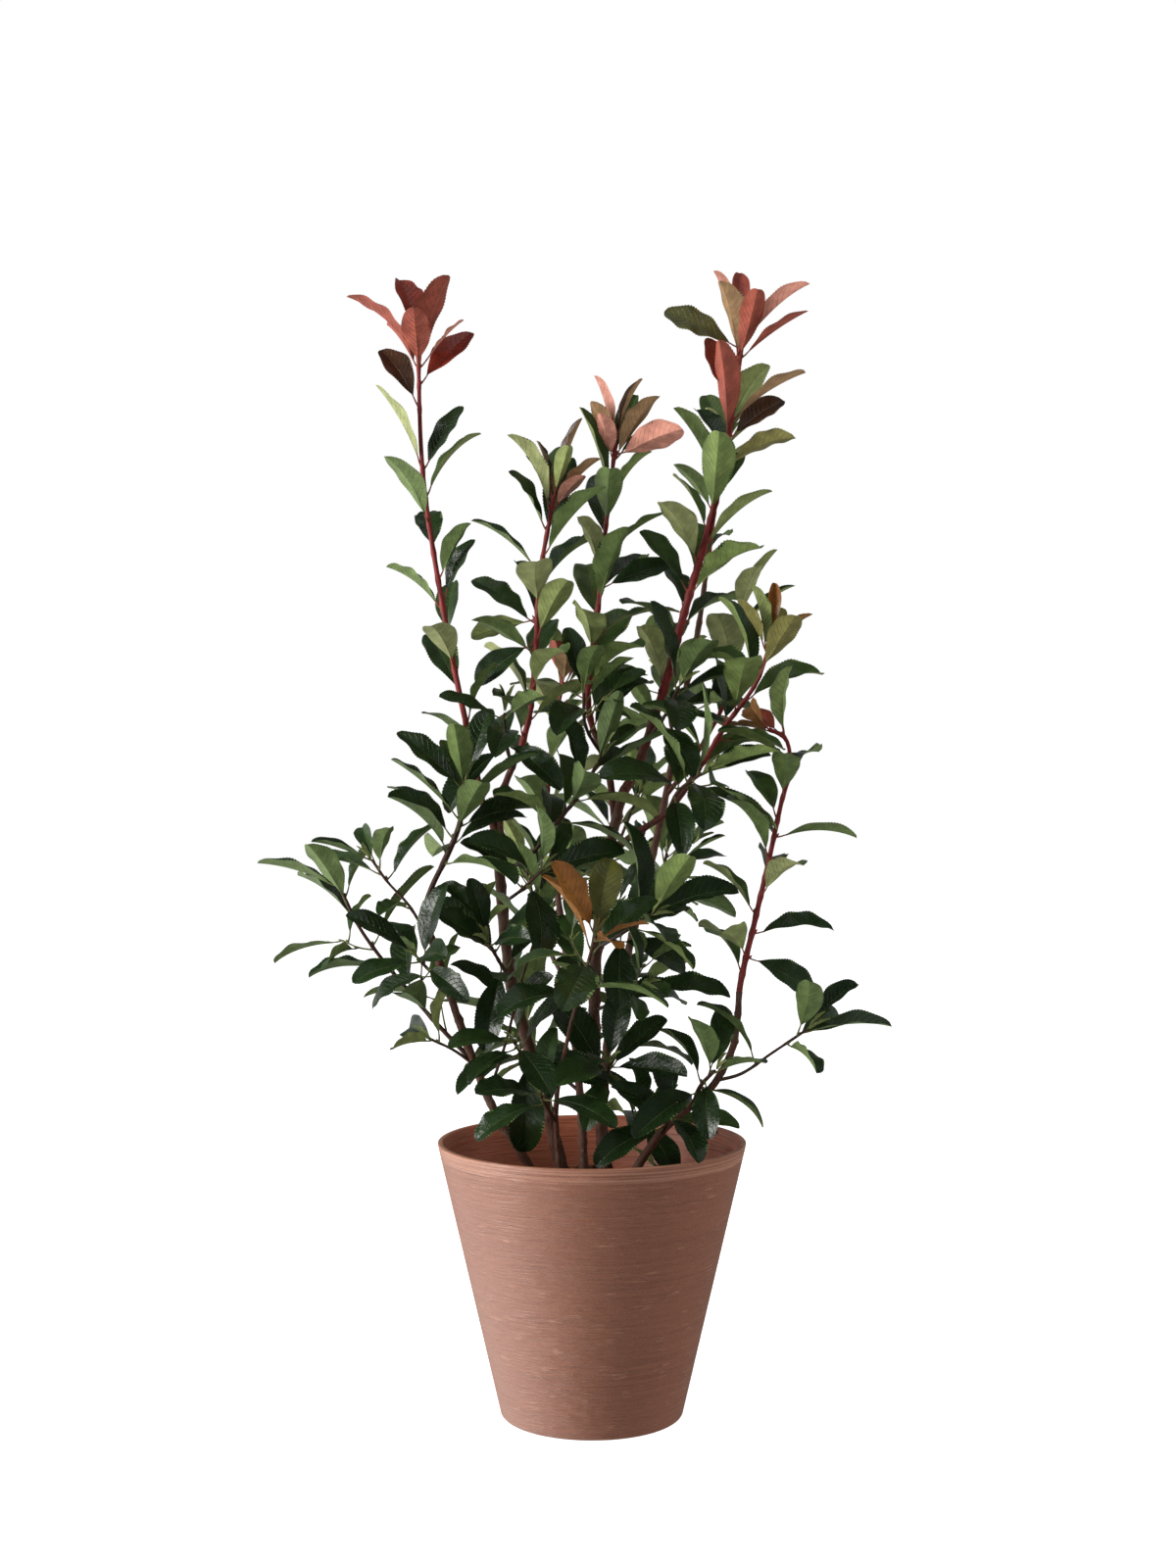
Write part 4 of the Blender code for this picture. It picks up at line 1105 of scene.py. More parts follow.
def blade_pattern(rows):
    """Faces, sides and squares that every blade of so many rows shares."""
    columns = len(BLADE_COLUMNS)
    inner = columns - 2
    under = (rows + 1) * columns
    notches = under + (rows + 1) * inner
    across = [(column + 1) / 2 for column in BLADE_COLUMNS]

    def point(side, row, column):
        if side == 0 or column in (0, columns - 1):
            return row * columns + column
        return under + row * inner + column - 1

    faces, sides, squares = [], [], []
    for side, row, column in itertools.product((0, 1), range(rows), range(columns - 1)):
        ring = [(row, column), (row, column + 1), (row + 1, column + 1), (row + 1, column)]
        corners = [point(side, *place) for place in ring]
        square = [(across[c], r / rows) for r, c in ring]
        if column == 0:
            corners.append(notches + 2 * row)
            square.append((0.0, (row + 0.5) / rows))
        if column == columns - 2:
            corners.insert(2, notches + 2 * row + 1)
            square.insert(2, (1.0, (row + 0.5) / rows))
        if side == 1:
            corners.reverse()
            square.reverse()
        faces.append(corners)
        sides.append(side)
        squares.append(square)
    return faces, sides, squares


def blade_points(leaf, rows, chance):
    """A blade's points: its upper face, its lower face's inner columns and its edge's notches."""
    axis, face = np.array(leaf.axis), np.array(leaf.face)
    across = np.cross(axis, face)
    start = np.array(leaf.root) + axis * PETIOLE
    bend = chance.uniform(*BLADE_BENDS)
    youth = 1 - leaf.half_width / LEAF_HALF_WIDTH
    fold = math.radians(chance.uniform(*BLADE_FOLDS) + YOUNG_FOLD * youth)
    twist = math.radians(chance.uniform(-BLADE_TWIST, BLADE_TWIST))
    sway = chance.uniform(-BLADE_SWAY, BLADE_SWAY)
    waves = [(chance.uniform(*BLADE_WAVES), chance.uniform(0, 2 * math.pi)) for _ in range(2)]
    wave_height = chance.uniform(*BLADE_WAVE_HEIGHTS)
    extra_droop = chance.uniform(0.0, BLADE_TIP_DROOP)

    def surface(t, s, depth=0.0):
        t, s = np.broadcast_arrays(np.asarray(t, float), np.asarray(s, float))
        angle = leaf.droop * t
        reach = leaf.length / leaf.droop
        middle = start + reach * (
            np.sin(angle)[..., None] * axis - (1 - np.cos(angle))[..., None] * face
        )
        up = np.sin(angle)[..., None] * axis + np.cos(angle)[..., None] * face
        turn = twist * t
        side = np.cos(turn)[..., None] * across + np.sin(turn)[..., None] * up
        up = np.cos(turn)[..., None] * up - np.sin(turn)[..., None] * across
        half = np.maximum(leaf.half_width * leaf.length * outline(t, bend), BLADE_LEAST)
        from_rib = np.sqrt(s**2 + RIB_ROUNDING) - RIB_SINK
        rise = half * from_rib * (math.sin(fold) - BLADE_EDGE_FALL * from_rib)
        left, right = (np.sin(2 * np.pi * count * t + place) for count, place in waves)
        wave = np.where(s < 0, left, right)
        rise = rise + wave_height * half * wave * s**2 - extra_droop * leaf.length * t**4
        sideways = half * s * math.cos(fold) + sway * leaf.length * np.sin(np.pi * t)
        return middle + side * sideways[..., None] + up * (rise - depth)[..., None]

    t = np.linspace(0.0, 1.0, rows + 1)[:, None]
    s = np.array(BLADE_COLUMNS)[None, :]
    forward = np.where(np.abs(s) == 1.0, BLADE_TOOTH_LEAN / rows, 0.0) * (t < 1.0)
    upper = surface(t + forward, s)
    inner = s[:, 1:-1]
    thickness = BLADE_THICKNESS * (1 - np.abs(inner) ** 3) + RIB_DEPTH * (inner == 0.0) * (1 - t)
    lower = surface(t, inner, thickness)
    notches = surface(t[:-1] + 0.5 / rows, np.array([[-1 + BLADE_TOOTH, 1 - BLADE_TOOTH]]))
    return np.concatenate([part.reshape(-1, 3) for part in (upper, lower, notches)])


PATTERNS = {rows: blade_pattern(rows) for rows in (BLADE_ROWS, SMALL_BLADE_ROWS)}


def add_blade(gathered, leaf, tint, chance):
    rows = BLADE_ROWS if leaf.length > SMALL_BLADE else SMALL_BLADE_ROWS
    faces, sides, squares = PATTERNS[rows]
    names = (tint + "_upper", tint + "_under")
    gathered.add(blade_points(leaf, rows, chance), faces, [names[side] for side in sides], squares)


# Twigs, leaf stalks and buds


def add_bud(gathered, root, way, finish):
    stations = [Station(root + way * (BUD_LENGTH * part), way, part) for part, _ in BUD_PROFILE]
    gathered.tube(stations, [BUD_RADIUS * width for _, width in BUD_PROFILE], BUD_SIDES, finish)


def add_twig(gathered, twig, leaves, finish, stalk_finish):
    """A twig that thickens at each leaf, with the stalks and buds of its leaves."""
    first_direction = twig.stations[0].direction
    stations = smooth_route([station.point for station in twig.stations], FINE_TWIG_STEP, first_direction)
    numbers = range(len(stations))
    joints = [min(numbers, key=lambda k: (stations[k].point - leaf.root).length) for leaf in leaves]
    radii = []
    for k, station in enumerate(stations):
        radius = blend(twig.radius, twig.tip_radius, station.along)
        radii.append(radius * (1 + JOINT_SWELL * (k in joints)))
    gathered.tube(stations, radii, FINE_TWIG_SIDES, finish)
    for leaf, joint in zip(leaves, joints):
        station = stations[joint]
        end = leaf.root + leaf.axis * (PETIOLE + STALK_OVERLAP)
        middle = station.point.lerp(end, 0.5) - leaf.face * STALK_SAG
        route = smooth_route([station.point, middle, end], STALK_STEP)
        stalk_radii = [blend(*STALK_RADII, place.along) for place in route]
        gathered.tube(route, stalk_radii, STALK_SIDES, stalk_finish)
        way = (station.direction * BUD_RISE + leaf.axis * BUD_LEAN).normalized()
        add_bud(gathered, station.point + leaf.axis * radii[joint], way, stalk_finish)


# Bark


def leaf_scars(limb, length, chance):
    """Where old leaves grew on a limb: how far along it, and the turn about it."""
    scars = []
    place = chance.uniform(*FIRST_SCAR) * SCAR_STEP
    while place < length:
        scars.append((place / length, len(scars) * GOLDEN_ANGLE + limb.radius * SCAR_TURN))
        place += SCAR_STEP * chance.uniform(*SCAR_SWAY)
    return scars


def scar_relief(along, angle, length, scars):
    """How far the rings and old buds of the scars stand out at a place on a limb."""
    relief = 0.0
    for place, turn in scars:
        away = (along - place) * length
        if abs(away) < SCAR_REACH * SCAR_HEIGHT:
            near = math.exp(-((away / SCAR_HEIGHT) ** 2))
            knob = math.exp(SCAR_KNOB_FOCUS * (math.cos(angle - turn) - 1))
            relief += near * (SCAR_RING + SCAR_KNOB * knob)
    return relief


def build_bark(name, limb, stations, chance):
    """A limb with the bark's relief: waves, fine ridges and a ring with a bud at each old leaf."""
    length = route_length(stations)
    fine = smooth_route([station.point for station in stations], BARK_STEP, stations[0].direction)
    radii = limb_radii(limb, fine)
    points, faces = tube_shape(fine, radii, BARK_SIDES)
    scars = leaf_scars(limb, length, chance)
    for n, point in enumerate(points):
        k, i = divmod(n, BARK_SIDES)
        out = (point - fine[k].point).normalized()
        ridge_place = Vector([part * rate for part, rate in zip(point, BARK_RIDGE_RATES)])
        relief = BARK_WAVE * noise.noise(point * BARK_WAVE_RATE) + BARK_RIDGE * noise.noise(ridge_place)
        relief += scar_relief(fine[k].along, 2 * math.pi * i / BARK_SIDES, length, scars)
        points[n] = point + out * (relief * min(radii[k], BARK_MOST_RADIUS))
    finish = "young_bark" if limb.carrier else "bark"
    gathered = Gathered()
    gathered.add(points, faces, [finish] * (len(faces) - 1) + ["cut_wood"], [])
    gathered.finished("bark_" + name, [finish, "cut_wood"], 50, "bark", name)


# Pot and soil


def turned_shape(profile, segments):
    """Points and faces of a profile turned about the axis, on which it starts and ends."""
    points = [(0.0, 0.0, profile[0][1])]
    for radius, height in profile[1:-1]:
        for i in range(segments):
            angle = 2 * math.pi * i / segments
            points.append((radius * math.cos(angle), radius * math.sin(angle), height))
    points.append((0.0, 0.0, profile[-1][1]))
    last = len(points) - 1 - segments
    faces = []
    for i in range(segments):
        j = (i + 1) % segments
        faces += [(0, 1 + j, 1 + i), (last + i, last + j, last + segments)]
        for low in range(1, last, segments):
            faces.append((low + i, low + j, low + segments + j, low + segments + i))
    return points, faces


def arc(centre, radius, start_degrees, end_degrees, steps):
    found = []
    for i in range(steps + 1):
        angle = math.radians(blend(start_degrees, end_degrees, i / steps))
        found.append((centre[0] + radius * math.cos(angle), centre[1] + radius * math.sin(angle)))
    return found


def inner_radius(height):
    return blend(POT_BASE_RADIUS, POT_RIM_RADIUS, height / POT_HEIGHT) - POT_WALL


def build_pot():
    foot = (POT_BASE_RADIUS - POT_FOOT_ROUNDING, POT_FOOT_ROUNDING)
    lip_height = POT_HEIGHT - POT_LIP_ROUNDING
    lip_outside = POT_RIM_RADIUS - POT_LIP_ROUNDING
    lip_inside = POT_RIM_RADIUS - POT_WALL + POT_LIP_ROUNDING
    profile = [(0.0, 0.0)] + arc(foot, POT_FOOT_ROUNDING, -90, -POT_LEAN, POT_FOOT_STEPS)
    low_radius, low_height = profile[-1]
    for k in range(1, POT_WALL_RINGS):
        part = k / POT_WALL_RINGS
        profile.append((blend(low_radius, POT_RIM_RADIUS, part), blend(low_height, lip_height, part)))
    profile += arc((lip_outside, lip_height), POT_LIP_ROUNDING, 0, 90, POT_LIP_STEPS)
    profile += arc((lip_inside, lip_height), POT_LIP_ROUNDING, 90, 180, POT_LIP_STEPS)
    profile += [(inner_radius(height), height) for height in (SOIL_LEVEL, POT_FLOOR)]
    profile.append((0.0, POT_FLOOR))
    mesh = mesh_of("pot_shell", *turned_shape(profile, FINE_POT_SEGMENTS), ["pot", "pot_inside"])
    for face in mesh.polygons:
        face.material_index = int(face.normal.xy.dot(face.center.xy) < 0)
    make_piece(mesh, 40, "pot", "pot")


def crumb_pattern():
    """Corners of a regular solid with twenty faces, and the faces."""
    ratio = (1 + math.sqrt(5)) / 2
    corners = []
    for a, b in itertools.product((-1, 1), (-ratio, ratio)):
        corners += [(0, a, b), (a, b, 0), (b, 0, a)]
    faces = []
    for numbers in itertools.combinations(range(len(corners)), 3):
        a, b, c = (Vector(corners[i]) for i in numbers)
        if max((a - b).length, (b - c).length, (a - c).length) < CRUMB_EDGE:
            i, j, k = numbers
            faces_out = (b - a).cross(c - a).dot(a + b + c) > 0
            faces.append((i, j, k) if faces_out else (i, k, j))
    return corners, faces


def crumb_points(corners, centre, size, chance):
    """The corners as those of a small uneven lump."""
    stretch = [size * chance.uniform(*CRUMB_SIZES) / CRUMB_WIDTH for _ in range(3)]
    angle = chance.uniform(0, math.pi)
    points = []
    for corner in corners:
        swell = chance.uniform(*CRUMB_SWELLS)
        x, y, z = (part * most * swell for part, most in zip(corner, stretch))
        points.append((
            centre[0] + x * math.cos(angle) - y * math.sin(angle),
            centre[1] + x * math.sin(angle) + y * math.cos(angle),
            centre[2] + z * CRUMB_FLATNESS,
        ))
    return points


def soil_height(x, y):
    place = Vector((x * SOIL_WAVE_RATE, y * SOIL_WAVE_RATE, SOIL_WAVE_PLACE))
    return SOIL_LEVEL + SOIL_WAVE * (noise.noise(place) - SOIL_WAVE_SINK)


def build_soil():
    """The soil's body with an uneven top, and crumbs, bark chips and white grains lying on it."""
    bottom = POT_FLOOR + GAP
    top_radius = inner_radius(SOIL_LEVEL) - GAP
    edge = SOIL_LEVEL - SOIL_WAVE
    profile = [(0.0, bottom), (inner_radius(bottom) - GAP, bottom), (top_radius, edge)]
    profile += [(top_radius * (1 - k / SOIL_RINGS), SOIL_LEVEL) for k in range(1, SOIL_RINGS + 1)]
    points, faces = turned_shape(profile, SOIL_SEGMENTS)
    points = [(x, y, soil_height(x, y) if z > edge else z) for x, y, z in points]
    gathered = Gathered()
    gathered.add_plain(points, faces, "soil")
    corners, faces = crumb_pattern()
    chance = random.Random(SOIL_SEED)
    for finish, count, sizes in SOIL_BITS:
        for _ in range(count):
            radius = (top_radius - SOIL_BARE_EDGE) * math.sqrt(chance.random())
            angle = chance.uniform(0, 2 * math.pi)
            x, y = radius * math.cos(angle), radius * math.sin(angle)
            size = chance.uniform(*sizes)
            centre = (x, y, soil_height(x, y) + size * CRUMB_RISE)
            gathered.add_plain(crumb_points(corners, centre, size, chance), faces, finish)
    gathered.finished("potting_soil", [finish for finish, _, _ in SOIL_BITS], 30, "soil", "soil")


# Finishes


class Value:
    """One output of a node. Its sums, differences and products are nodes too."""

    def __init__(self, nodes, socket):
        self.nodes = nodes
        self.socket = socket

    def __add__(self, other):
        return self.nodes.math("ADD", self, other)

    def __sub__(self, other):
        return self.nodes.math("SUBTRACT", self, other)

    def __rsub__(self, other):
        return self.nodes.math("SUBTRACT", other, self)

    def __mul__(self, other):
        return self.nodes.math("MULTIPLY", self, other)

    def __truediv__(self, other):
        return self.nodes.math("DIVIDE", self, other)

    def __abs__(self):
        return self.nodes.math("ABSOLUTE", self)


class Nodes:
    """A node tree whose nodes are made and linked in short calls."""

    def __init__(self, tree):
        self.tree = tree

    def put(self, socket, value):
        if isinstance(value, Value):
            self.tree.links.new(value.socket, socket)
        else:
            socket.default_value = value

    def outputs(self, kind, inputs=None, **settings):
        """All outputs of a new node, by name."""
        made = self.tree.nodes.new(kind)
        for key, value in settings.items():
            setattr(made, key, value)
        for key, value in (inputs or {}).items():
            self.put(made.inputs[key], value)
        return made.outputs

    def value(self, kind, output, inputs=None, **settings):
        return Value(self, self.outputs(kind, inputs, **settings)[output])

    def math(self, operation, *values):
        return self.value("ShaderNodeMath", 0, dict(enumerate(values)), operation=operation)

    def split(self, vector):
        return [Value(self, part) for part in self.outputs("ShaderNodeSeparateXYZ", {"Vector": vector})]

    def ramp(self, value, low, high, shape="SMOOTHSTEP"):
        """0 below low, 1 above high and a rise between."""
        inputs = {"Value": value, "From Min": low, "From Max": high}
        return self.value("ShaderNodeMapRange", 0, inputs, interpolation_type=shape)

    def mix(self, part, low, high):
        low, high = (end if isinstance(end, Value) else (*end, 1.0) for end in (low, high))
        return self.value("ShaderNodeMix", 2, {0: part, 6: low, 7: high}, data_type="RGBA")

    def noise(self, vector, scale, detail=3.0, roughness=0.5):
        """Noise whose waves are as many in each direction as the scale says, or the three scales."""
        if isinstance(scale, tuple):
            inputs = {0: vector, 1: scale}
            vector = self.value("ShaderNodeVectorMath", 0, inputs, operation="MULTIPLY")
            scale = 1.0
        inputs = {"Vector": vector, "Scale": scale, "Detail": detail, "Roughness": roughness}
        return self.value("ShaderNodeTexNoise", 0, inputs)

    def background(self, colour, strength):
        return self.value("ShaderNodeBackground", 0, {"Color": colour, "Strength": strength})


class Finish(Nodes):
    """A material with one shader."""

    def __init__(self, name, roughness, specular=0.5):
        self.material = bpy.data.materials.new(name)
        self.material.use_nodes = True
        super().__init__(self.material.node_tree)
        self.set("Roughness", roughness)
        self.set("Specular IOR Level", specular)
        MATERIALS[name] = self.material

    def set(self, name, value):
        self.put(self.tree.nodes["Principled BSDF"].inputs[name], value)

    def square(self):
        """Where a point is on its face's square: the vector, the part across and the part along."""
        vector = self.value("ShaderNodeUVMap", 0, uv_map=UNIT_MAP)
        return vector, *self.split(vector)[:2]

    def place(self):
        return self.value("ShaderNodeTexCoord", "Object")

    def bump(self, height, distance, strength=1.0):
        inputs = {"Height": height, "Distance": distance, "Strength": strength}
        self.set("Normal", self.value("ShaderNodeBump", 0, inputs))


def toned(colour, share):
    return tuple(min(1.0, part * share) for part in colour)


def blend_colours(low, high, part):
    return tuple(blend(a, b, part) for a, b in zip(low, high))


def leaf_finish(name, colour, rib_colour, skin):
    """A blade's face: blotches, a paler rib and side veins that bow towards the tip."""
    finish = Finish(name, skin.roughness, skin.specular)
    vector, across, along = finish.square()
    off_rib = abs(across * 2.0 - 1.0)
    rib_width = along * (RIB_WIDTHS[1] - RIB_WIDTHS[0]) + RIB_WIDTHS[0]
    rib = 1.0 - finish.ramp(off_rib / rib_width, *RIB_EDGE)
    bow = finish.math("POWER", off_rib, VEIN_BOW_POWER) * VEIN_BOW
    from_vein = abs(finish.math("FRACT", along * VEIN_COUNT - bow) - 0.5)
    vein = (1.0 - finish.ramp(from_vein, *VEIN_EDGE)) * (1.0 - finish.ramp(off_rib, *VEIN_END))
    pores = finish.noise(vector, PORE_SCALE, 2.0)
    blotches = finish.noise(vector, BLOTCH_SCALE)
    ground = finish.mix(finish.ramp(blotches, 0.35, 0.68), toned(colour, 0.80), toned(colour, 1.22))
    ground = finish.mix(finish.ramp(off_rib, *BLADE_RIM) * 0.35, ground, toned(colour, 0.72))
    ground = finish.mix(vein * skin.vein_share, ground, rib_colour)
    finish.set("Base Color", finish.mix(rib * 0.85, ground, rib_colour))
    height = vein * skin.vein_height + rib * (2 * skin.vein_height)
    finish.bump(height + pores * skin.pore_height + blotches * 0.8, 0.0006)


def twig_finish(name, colour, roughness):
    finish = Finish(name, roughness, 0.3)
    streaks = finish.noise(finish.square()[0], STREAK_SCALE)
    share = finish.ramp(streaks, 0.35, 0.65)
    finish.set("Base Color", finish.mix(share, toned(colour, 0.7), toned(colour, 1.3)))
    finish.bump(streaks, 0.0004)


def bark_finish(name, dark, brown, grey_share):
    """Brown bark with grey patches, and pale dots where it breathes."""
    finish = Finish(name, 0.60, 0.35)
    place = finish.place()
    patches = finish.noise(place, BARK_PATCH_SCALE, 4.0)
    streaks = finish.noise(place, BARK_STREAK_SCALE, 4.0, 0.65)
    dots = finish.noise(place, BARK_DOT_SCALE, 1.0)
    ground = finish.mix(finish.ramp(streaks, 0.3, 0.7), dark, brown)
    ground = finish.mix(finish.ramp(patches, 0.48, 0.66) * grey_share, ground, BARK_GREY)
    finish.set("Base Color", finish.mix(finish.ramp(dots, 0.70, 0.76), ground, toned(BARK_GREY, 1.5)))
    finish.bump(streaks + patches * 0.6, 0.0012, 0.9)


def pot_finish(name, dark, middle, light):
    """Matt clay colour with fine level streaks, as from turning, and clusters of scratches painted light:
    real scratches, and partly a painted glint.
    """
    finish = Finish(name, 0.42, 0.78)
    place = finish.place()
    x, y, z = finish.split(place)
    turn = finish.math("ARCTAN2", y, x)
    swing = finish.value("ShaderNodeCombineXYZ", 0, {
        "X": finish.math("COSINE", turn) * POT_RIM_RADIUS,
        "Y": finish.math("SINE", turn) * POT_RIM_RADIUS,
        "Z": z,
    })
    rings = finish.noise(place, POT_RING_SCALE, 3.0, 0.7)
    dashes = finish.noise(swing, POT_DASH_SCALE, 4.0, 0.6)
    scratches = finish.noise(swing, POT_SCRATCH_SCALE, 2.0)
    grain = finish.noise(swing, POT_GRAIN_SCALE, 2.0, 0.7)
    patches = finish.noise(swing, POT_PATCH_SCALE)
    clouds = finish.noise(place, POT_CLOUD_SCALE, 4.0)
    ground = finish.mix(finish.ramp(dashes, 0.22, 0.76), dark, middle)
    ground = finish.mix(finish.ramp(rings, 0.45, 0.75) * 0.10, ground, light)
    ground = finish.mix(finish.ramp(clouds, 0.40, 0.70) * 0.35, ground, middle)
    band = finish.ramp(patches * POT_BAND_SWAY + z, POT_BAND, POT_BAND + POT_BAND_EDGE)
    ground = finish.mix(band * finish.ramp(dashes, 0.35, 0.65) * 0.70, ground, light)
    # Scratch clusters lighten the clay colour: partly real scratches, partly a painted glint that shows
    # under any light.
    scratches_and_glints = finish.ramp(scratches, 0.56, 0.68) * finish.ramp(patches, 0.50, 0.62)
    ground = finish.mix(scratches_and_glints * 0.50, ground, light)
    finish.set("Base Color", finish.mix(finish.ramp(grain, 0.46, 0.72) * 0.22, ground, light))
    finish.bump(scratches * patches * 4.0 + dashes + grain * 0.35 + band * 0.5, 0.0007)


def soil_finish(name, dark, light, scale):
    finish = Finish(name, 0.95, 0.2)
    grain = finish.noise(finish.place(), scale, 5.0, 0.7)
    finish.set("Base Color", finish.mix(finish.ramp(grain, 0.35, 0.65), dark, light))
    finish.bump(grain, 0.003)


def make_finishes():
    for tint, (upper, under) in TINTS.items():
        rib = toned(under, 0.9) if tint in YOUNG_TINTS else blend_colours(upper, LEAF_RIB, 0.55)
        leaf_finish(tint + "_upper", upper, rib, GLOSSY if tint in GLOSSY_TINTS else SATIN)
        leaf_finish(tint + "_under", under, toned(under, 1.35), UNDERSIDE)
    for name, colour in TWIG_COLOURS.items():
        twig_finish(name, colour, 0.50)
    twig_finish("cut_wood", CUT_WOOD, 0.8)
    bark_finish("bark", BARK_DARK, BARK_BROWN, 0.6)
    bark_finish("young_bark", YOUNG_BARK_DARK, YOUNG_BARK_BROWN, 0.15)
    pot_finish("pot", POT_DARK, POT_MIDDLE, POT_LIGHT)
    pot_finish("pot_inside", toned(POT_INSIDE, 0.7), POT_INSIDE, toned(POT_INSIDE, 1.2))
    for name, (dark, light, scale) in SOIL_COLOURS.items():
        soil_finish(name, dark, light, scale)


# The plant


def solid_trees():
    """The CAD solids that no leaf may touch: the pot, the soil and the limbs."""
    found = []
    for name in ("pot", "soil", *LIMBS):
        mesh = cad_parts[name].data
        faces = [tuple(face.vertices) for face in mesh.polygons]
        found.append(tree_of(([vert.co for vert in mesh.vertices], faces)))
    return found


def chosen_tint(shares, chance):
    return chance.choices(list(shares), weights=list(shares.values()))[0]


def tint_of(name, leaf, tip, order, chance):
    """The tint of a mass's leaf, whose order is counted from the tip."""
    reach, young = TIP_TINTS.get(name, (0.0, ()))
    if order < len(young) and (leaf.root - tip).length < reach:
        return young[order]
    return chosen_tint(TALL_SHARES if MASSES[name].habit in TALL_HABITS else LOW_SHARES, chance)


def dress_mass(name, twigs, leaves, own_trees, others, blades, wood):
    """Adds the blades and twigs of a mass, and returns the trees of its finer growth."""
    mass = MASSES[name]
    main = twigs[0]
    tip = main.stations[-1].point
    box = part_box(name)
    chance = random.Random(name)
    young = []
    if name in CROWNS:
        young = crown_growth(main, mass, CROWNS[name], box, others, chance)
    for leaf, tint in young:
        add_blade(blades, leaf, tint, chance)
    single_chance = random.Random(name + " side")
    singles = single_growth(main, mass, SINGLE_LEAVES.get(name, ()), box, others, single_chance)
    for leaf, tint in singles:
        add_blade(blades, leaf, tint, single_chance)
    on_main = [leaf for leaf, _ in young + singles]
    order = sum(len(own) for own in leaves)
    finishes = TALL_WOOD if mass.habit in TALL_HABITS else LOW_WOOD
    for twig, own in zip(twigs, leaves):
        add_twig(wood, twig, own + on_main, *finishes)
        on_main = []
        for leaf in own:
            order -= 1
            add_blade(blades, leaf, tint_of(name, leaf, tip, order, chance), chance)
    sprigs = []
    if mass.habit in SPRIG_CARRIERS:
        sprigs = grow_sprigs(main, mass, box, others, own_trees, chance)
    for twig, own, _ in sprigs:
        add_twig(wood, twig, own, *SPRIG_WOOD)
        for leaf in own:
            add_blade(blades, leaf, chosen_tint(SPRIG_SHARES, chance), chance)
    tip_tint = TIP_TINTS[name][1][0] if name in TIP_TINTS else "fresh"
    for leaf in tip_growth(main, mass, chance):
        add_blade(blades, leaf, tip_tint, chance)
    return [tree for _, _, trees in sprigs for tree in trees]


def build_plant():
    routes = plan_limbs()
    for name, limb in LIMBS.items():
        build_bark(name, limb, routes[name], random.Random(name))
    solids = solid_trees()
    twigs, leaves, bodies = plan_masses(routes, solids)
    stems = [name for name, limb in LIMBS.items() if not limb.carrier]
    blades = {stem: Gathered() for stem in stems}
    wood = {stem: Gathered() for stem in stems}
    sprig_trees = []
    for name in MASSES:
        own_trees, leaf_trees = bodies[name]
        others = solids + leaf_trees + sprig_trees
        for other, (twig_trees, other_leaf_trees) in bodies.items():
            if other != name:
                others += twig_trees + other_leaf_trees
        gathered = blades[stem_of(name)], wood[stem_of(name)]
        sprig_trees += dress_mass(name, twigs[name], leaves[name], own_trees, others, *gathered)
    finishes = [tint + side for tint in TINTS for side in ("_upper", "_under")]
    for stem in stems:
        carried = [name for name in MASSES if stem_of(name) == stem]
        blades[stem].finished("leaves_" + stem, finishes, 75, "foliage", *carried)
        wood[stem].finished("twigs_" + stem, list(TWIG_COLOURS), 60, "bark", *carried)


# Stage


def build_floor():
    size = FLOOR_SIZE
    corners = [(-size, -size, 0.0), (size, -size, 0.0), (size, size, 0.0), (-size, size, 0.0)]
    finish = Finish("floor", 0.25, 0.3)
    finish.set("Base Color", FLOOR_COLOUR)
    finish.set("Emission Color", WHITE)
    finish.set("Emission Strength", FLOOR_GLOW)
    finish.material.cycles.emission_sampling = "NONE"
    floor = linked("floor", mesh_of("floor", corners, [(0, 1, 2, 3)], ["floor"]))
    floor.location.z = -FLOOR_DROP
    floor.visible_diffuse = False
    floor.visible_glossy = False


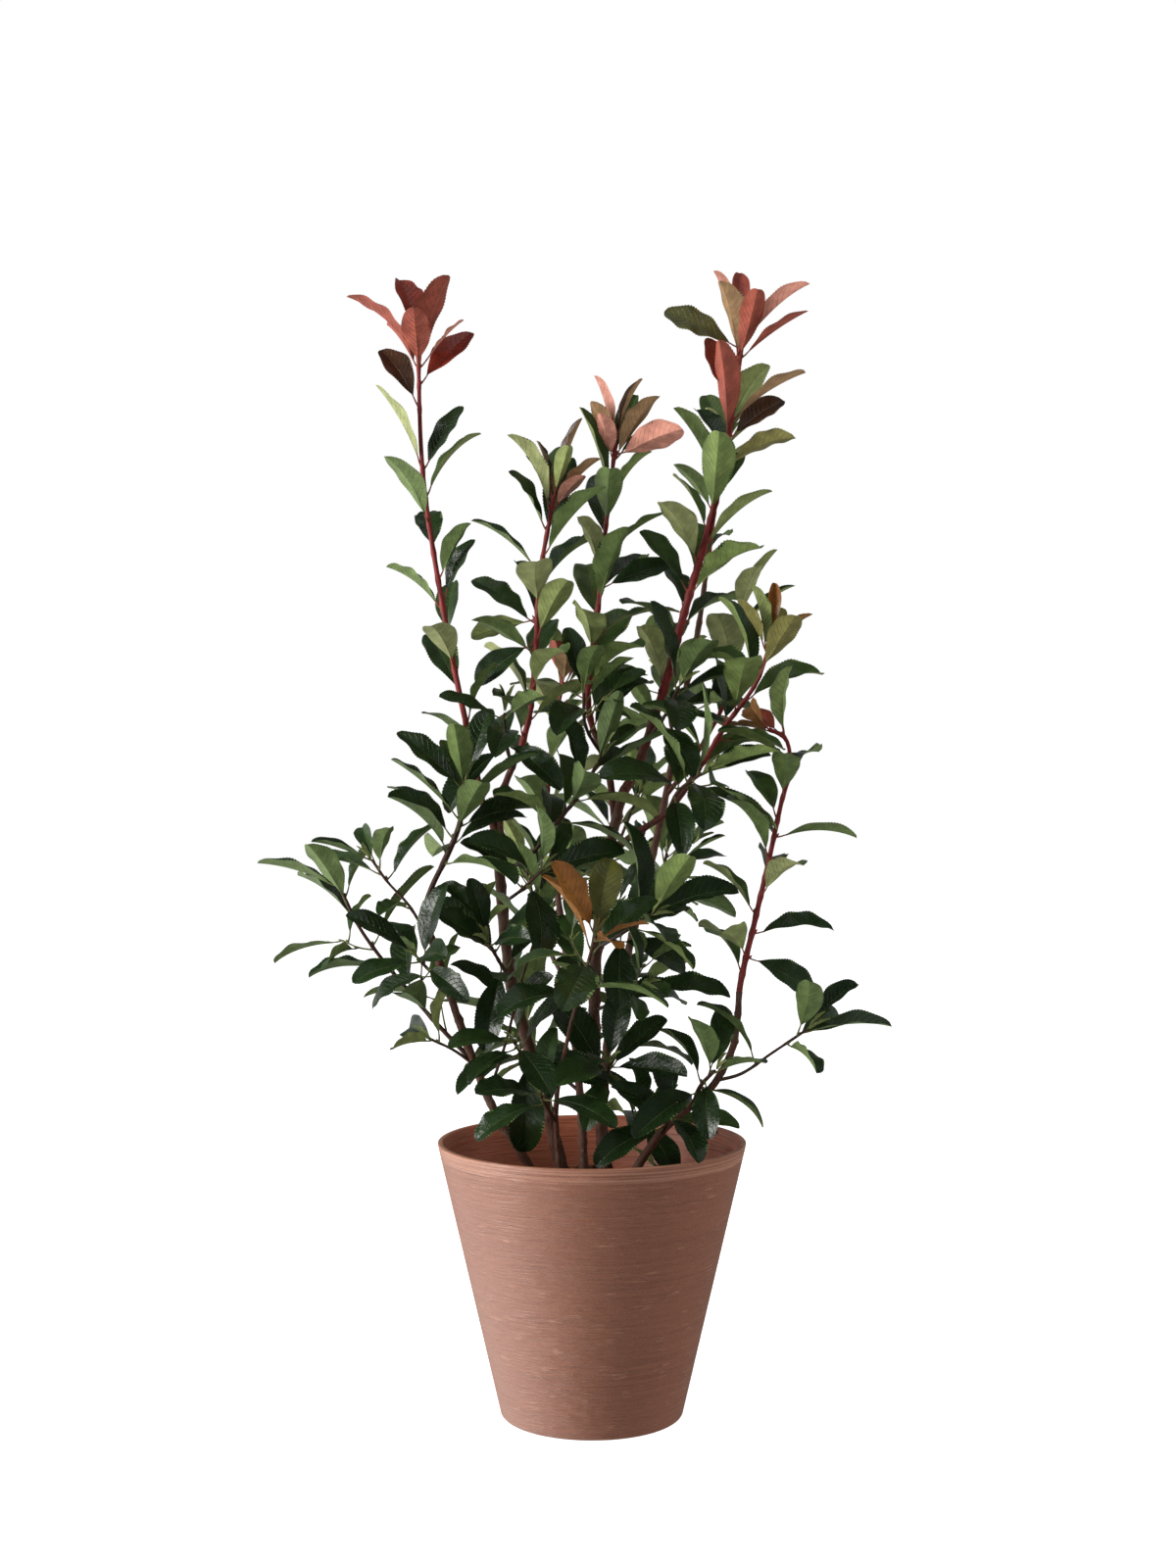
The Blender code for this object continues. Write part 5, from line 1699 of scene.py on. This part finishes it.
def build_lights():
    for lamp in LAMPS:
        light = bpy.data.lights.new(lamp.name, "AREA")
        light.shape = "RECTANGLE"
        light.size, light.size_y = lamp.size
        light.energy = lamp.power
        light.color = lamp.colour
        made = linked(lamp.name, light)
        made.location = lamp.place
        aim = Vector((0.0, 0.0, lamp.aim_height)) - Vector(lamp.place)
        made.rotation_euler = aim.to_track_quat("-Z", "Y").to_euler()
        made.visible_glossy = lamp.in_gloss


def build_world():
    """White to the camera. The plant sees grey walls, a dark ceiling and a bright floor to its left."""
    world = bpy.data.worlds.new("studio")
    bpy.context.scene.world = world
    world.use_nodes = True
    nodes = Nodes(world.node_tree)
    way = nodes.value("ShaderNodeTexCoord", "Generated")
    glossy = nodes.value("ShaderNodeLightPath", "Is Glossy Ray")
    to_camera = nodes.value("ShaderNodeLightPath", "Is Camera Ray")
    rise = nodes.ramp(nodes.split(way)[2], *SKY_RISE, "LINEAR")
    sky = nodes.background(nodes.mix(rise, WALL_LIGHT, CEILING_LIGHT), glossy * (GLOSS_SHARE - 1.0) + 1.0)
    toward = nodes.value("ShaderNodeVectorMath", "Value", {0: way, 1: BOUNCE_WAY}, operation="DOT_PRODUCT")
    level = glossy * (BOUNCE_GLOSS - BOUNCE_LIGHT) + BOUNCE_LIGHT
    bounce = nodes.background(WHITE, nodes.ramp(toward, *BOUNCE_SPREAD) * level)
    lighting = nodes.value("ShaderNodeAddShader", 0, {0: sky, 1: bounce})
    seen = nodes.background(WHITE, 1.0)
    choice = nodes.value("ShaderNodeMixShader", 0, {0: to_camera, 1: lighting, 2: seen})
    nodes.put(world.node_tree.nodes["World Output"].inputs["Surface"], choice)
    bpy.context.scene.view_settings.view_transform = "Standard"


def build_camera():
    data = bpy.data.cameras.new("camera")
    data.sensor_width = SENSOR
    data.lens = SENSOR * FOCAL_PIXELS / IMAGE_HEIGHT
    camera = linked("camera", data)
    camera.location = (CAMERA_SIDEWAYS, -CAMERA_DISTANCE, CAMERA_HEIGHT)
    camera.rotation_euler = (math.radians(90), 0.0, 0.0)
    bpy.context.scene.camera = camera


MATERIALS = {}
make_finishes()
build_pot()
build_soil()
build_plant()
build_floor()
build_lights()
build_world()
build_camera()
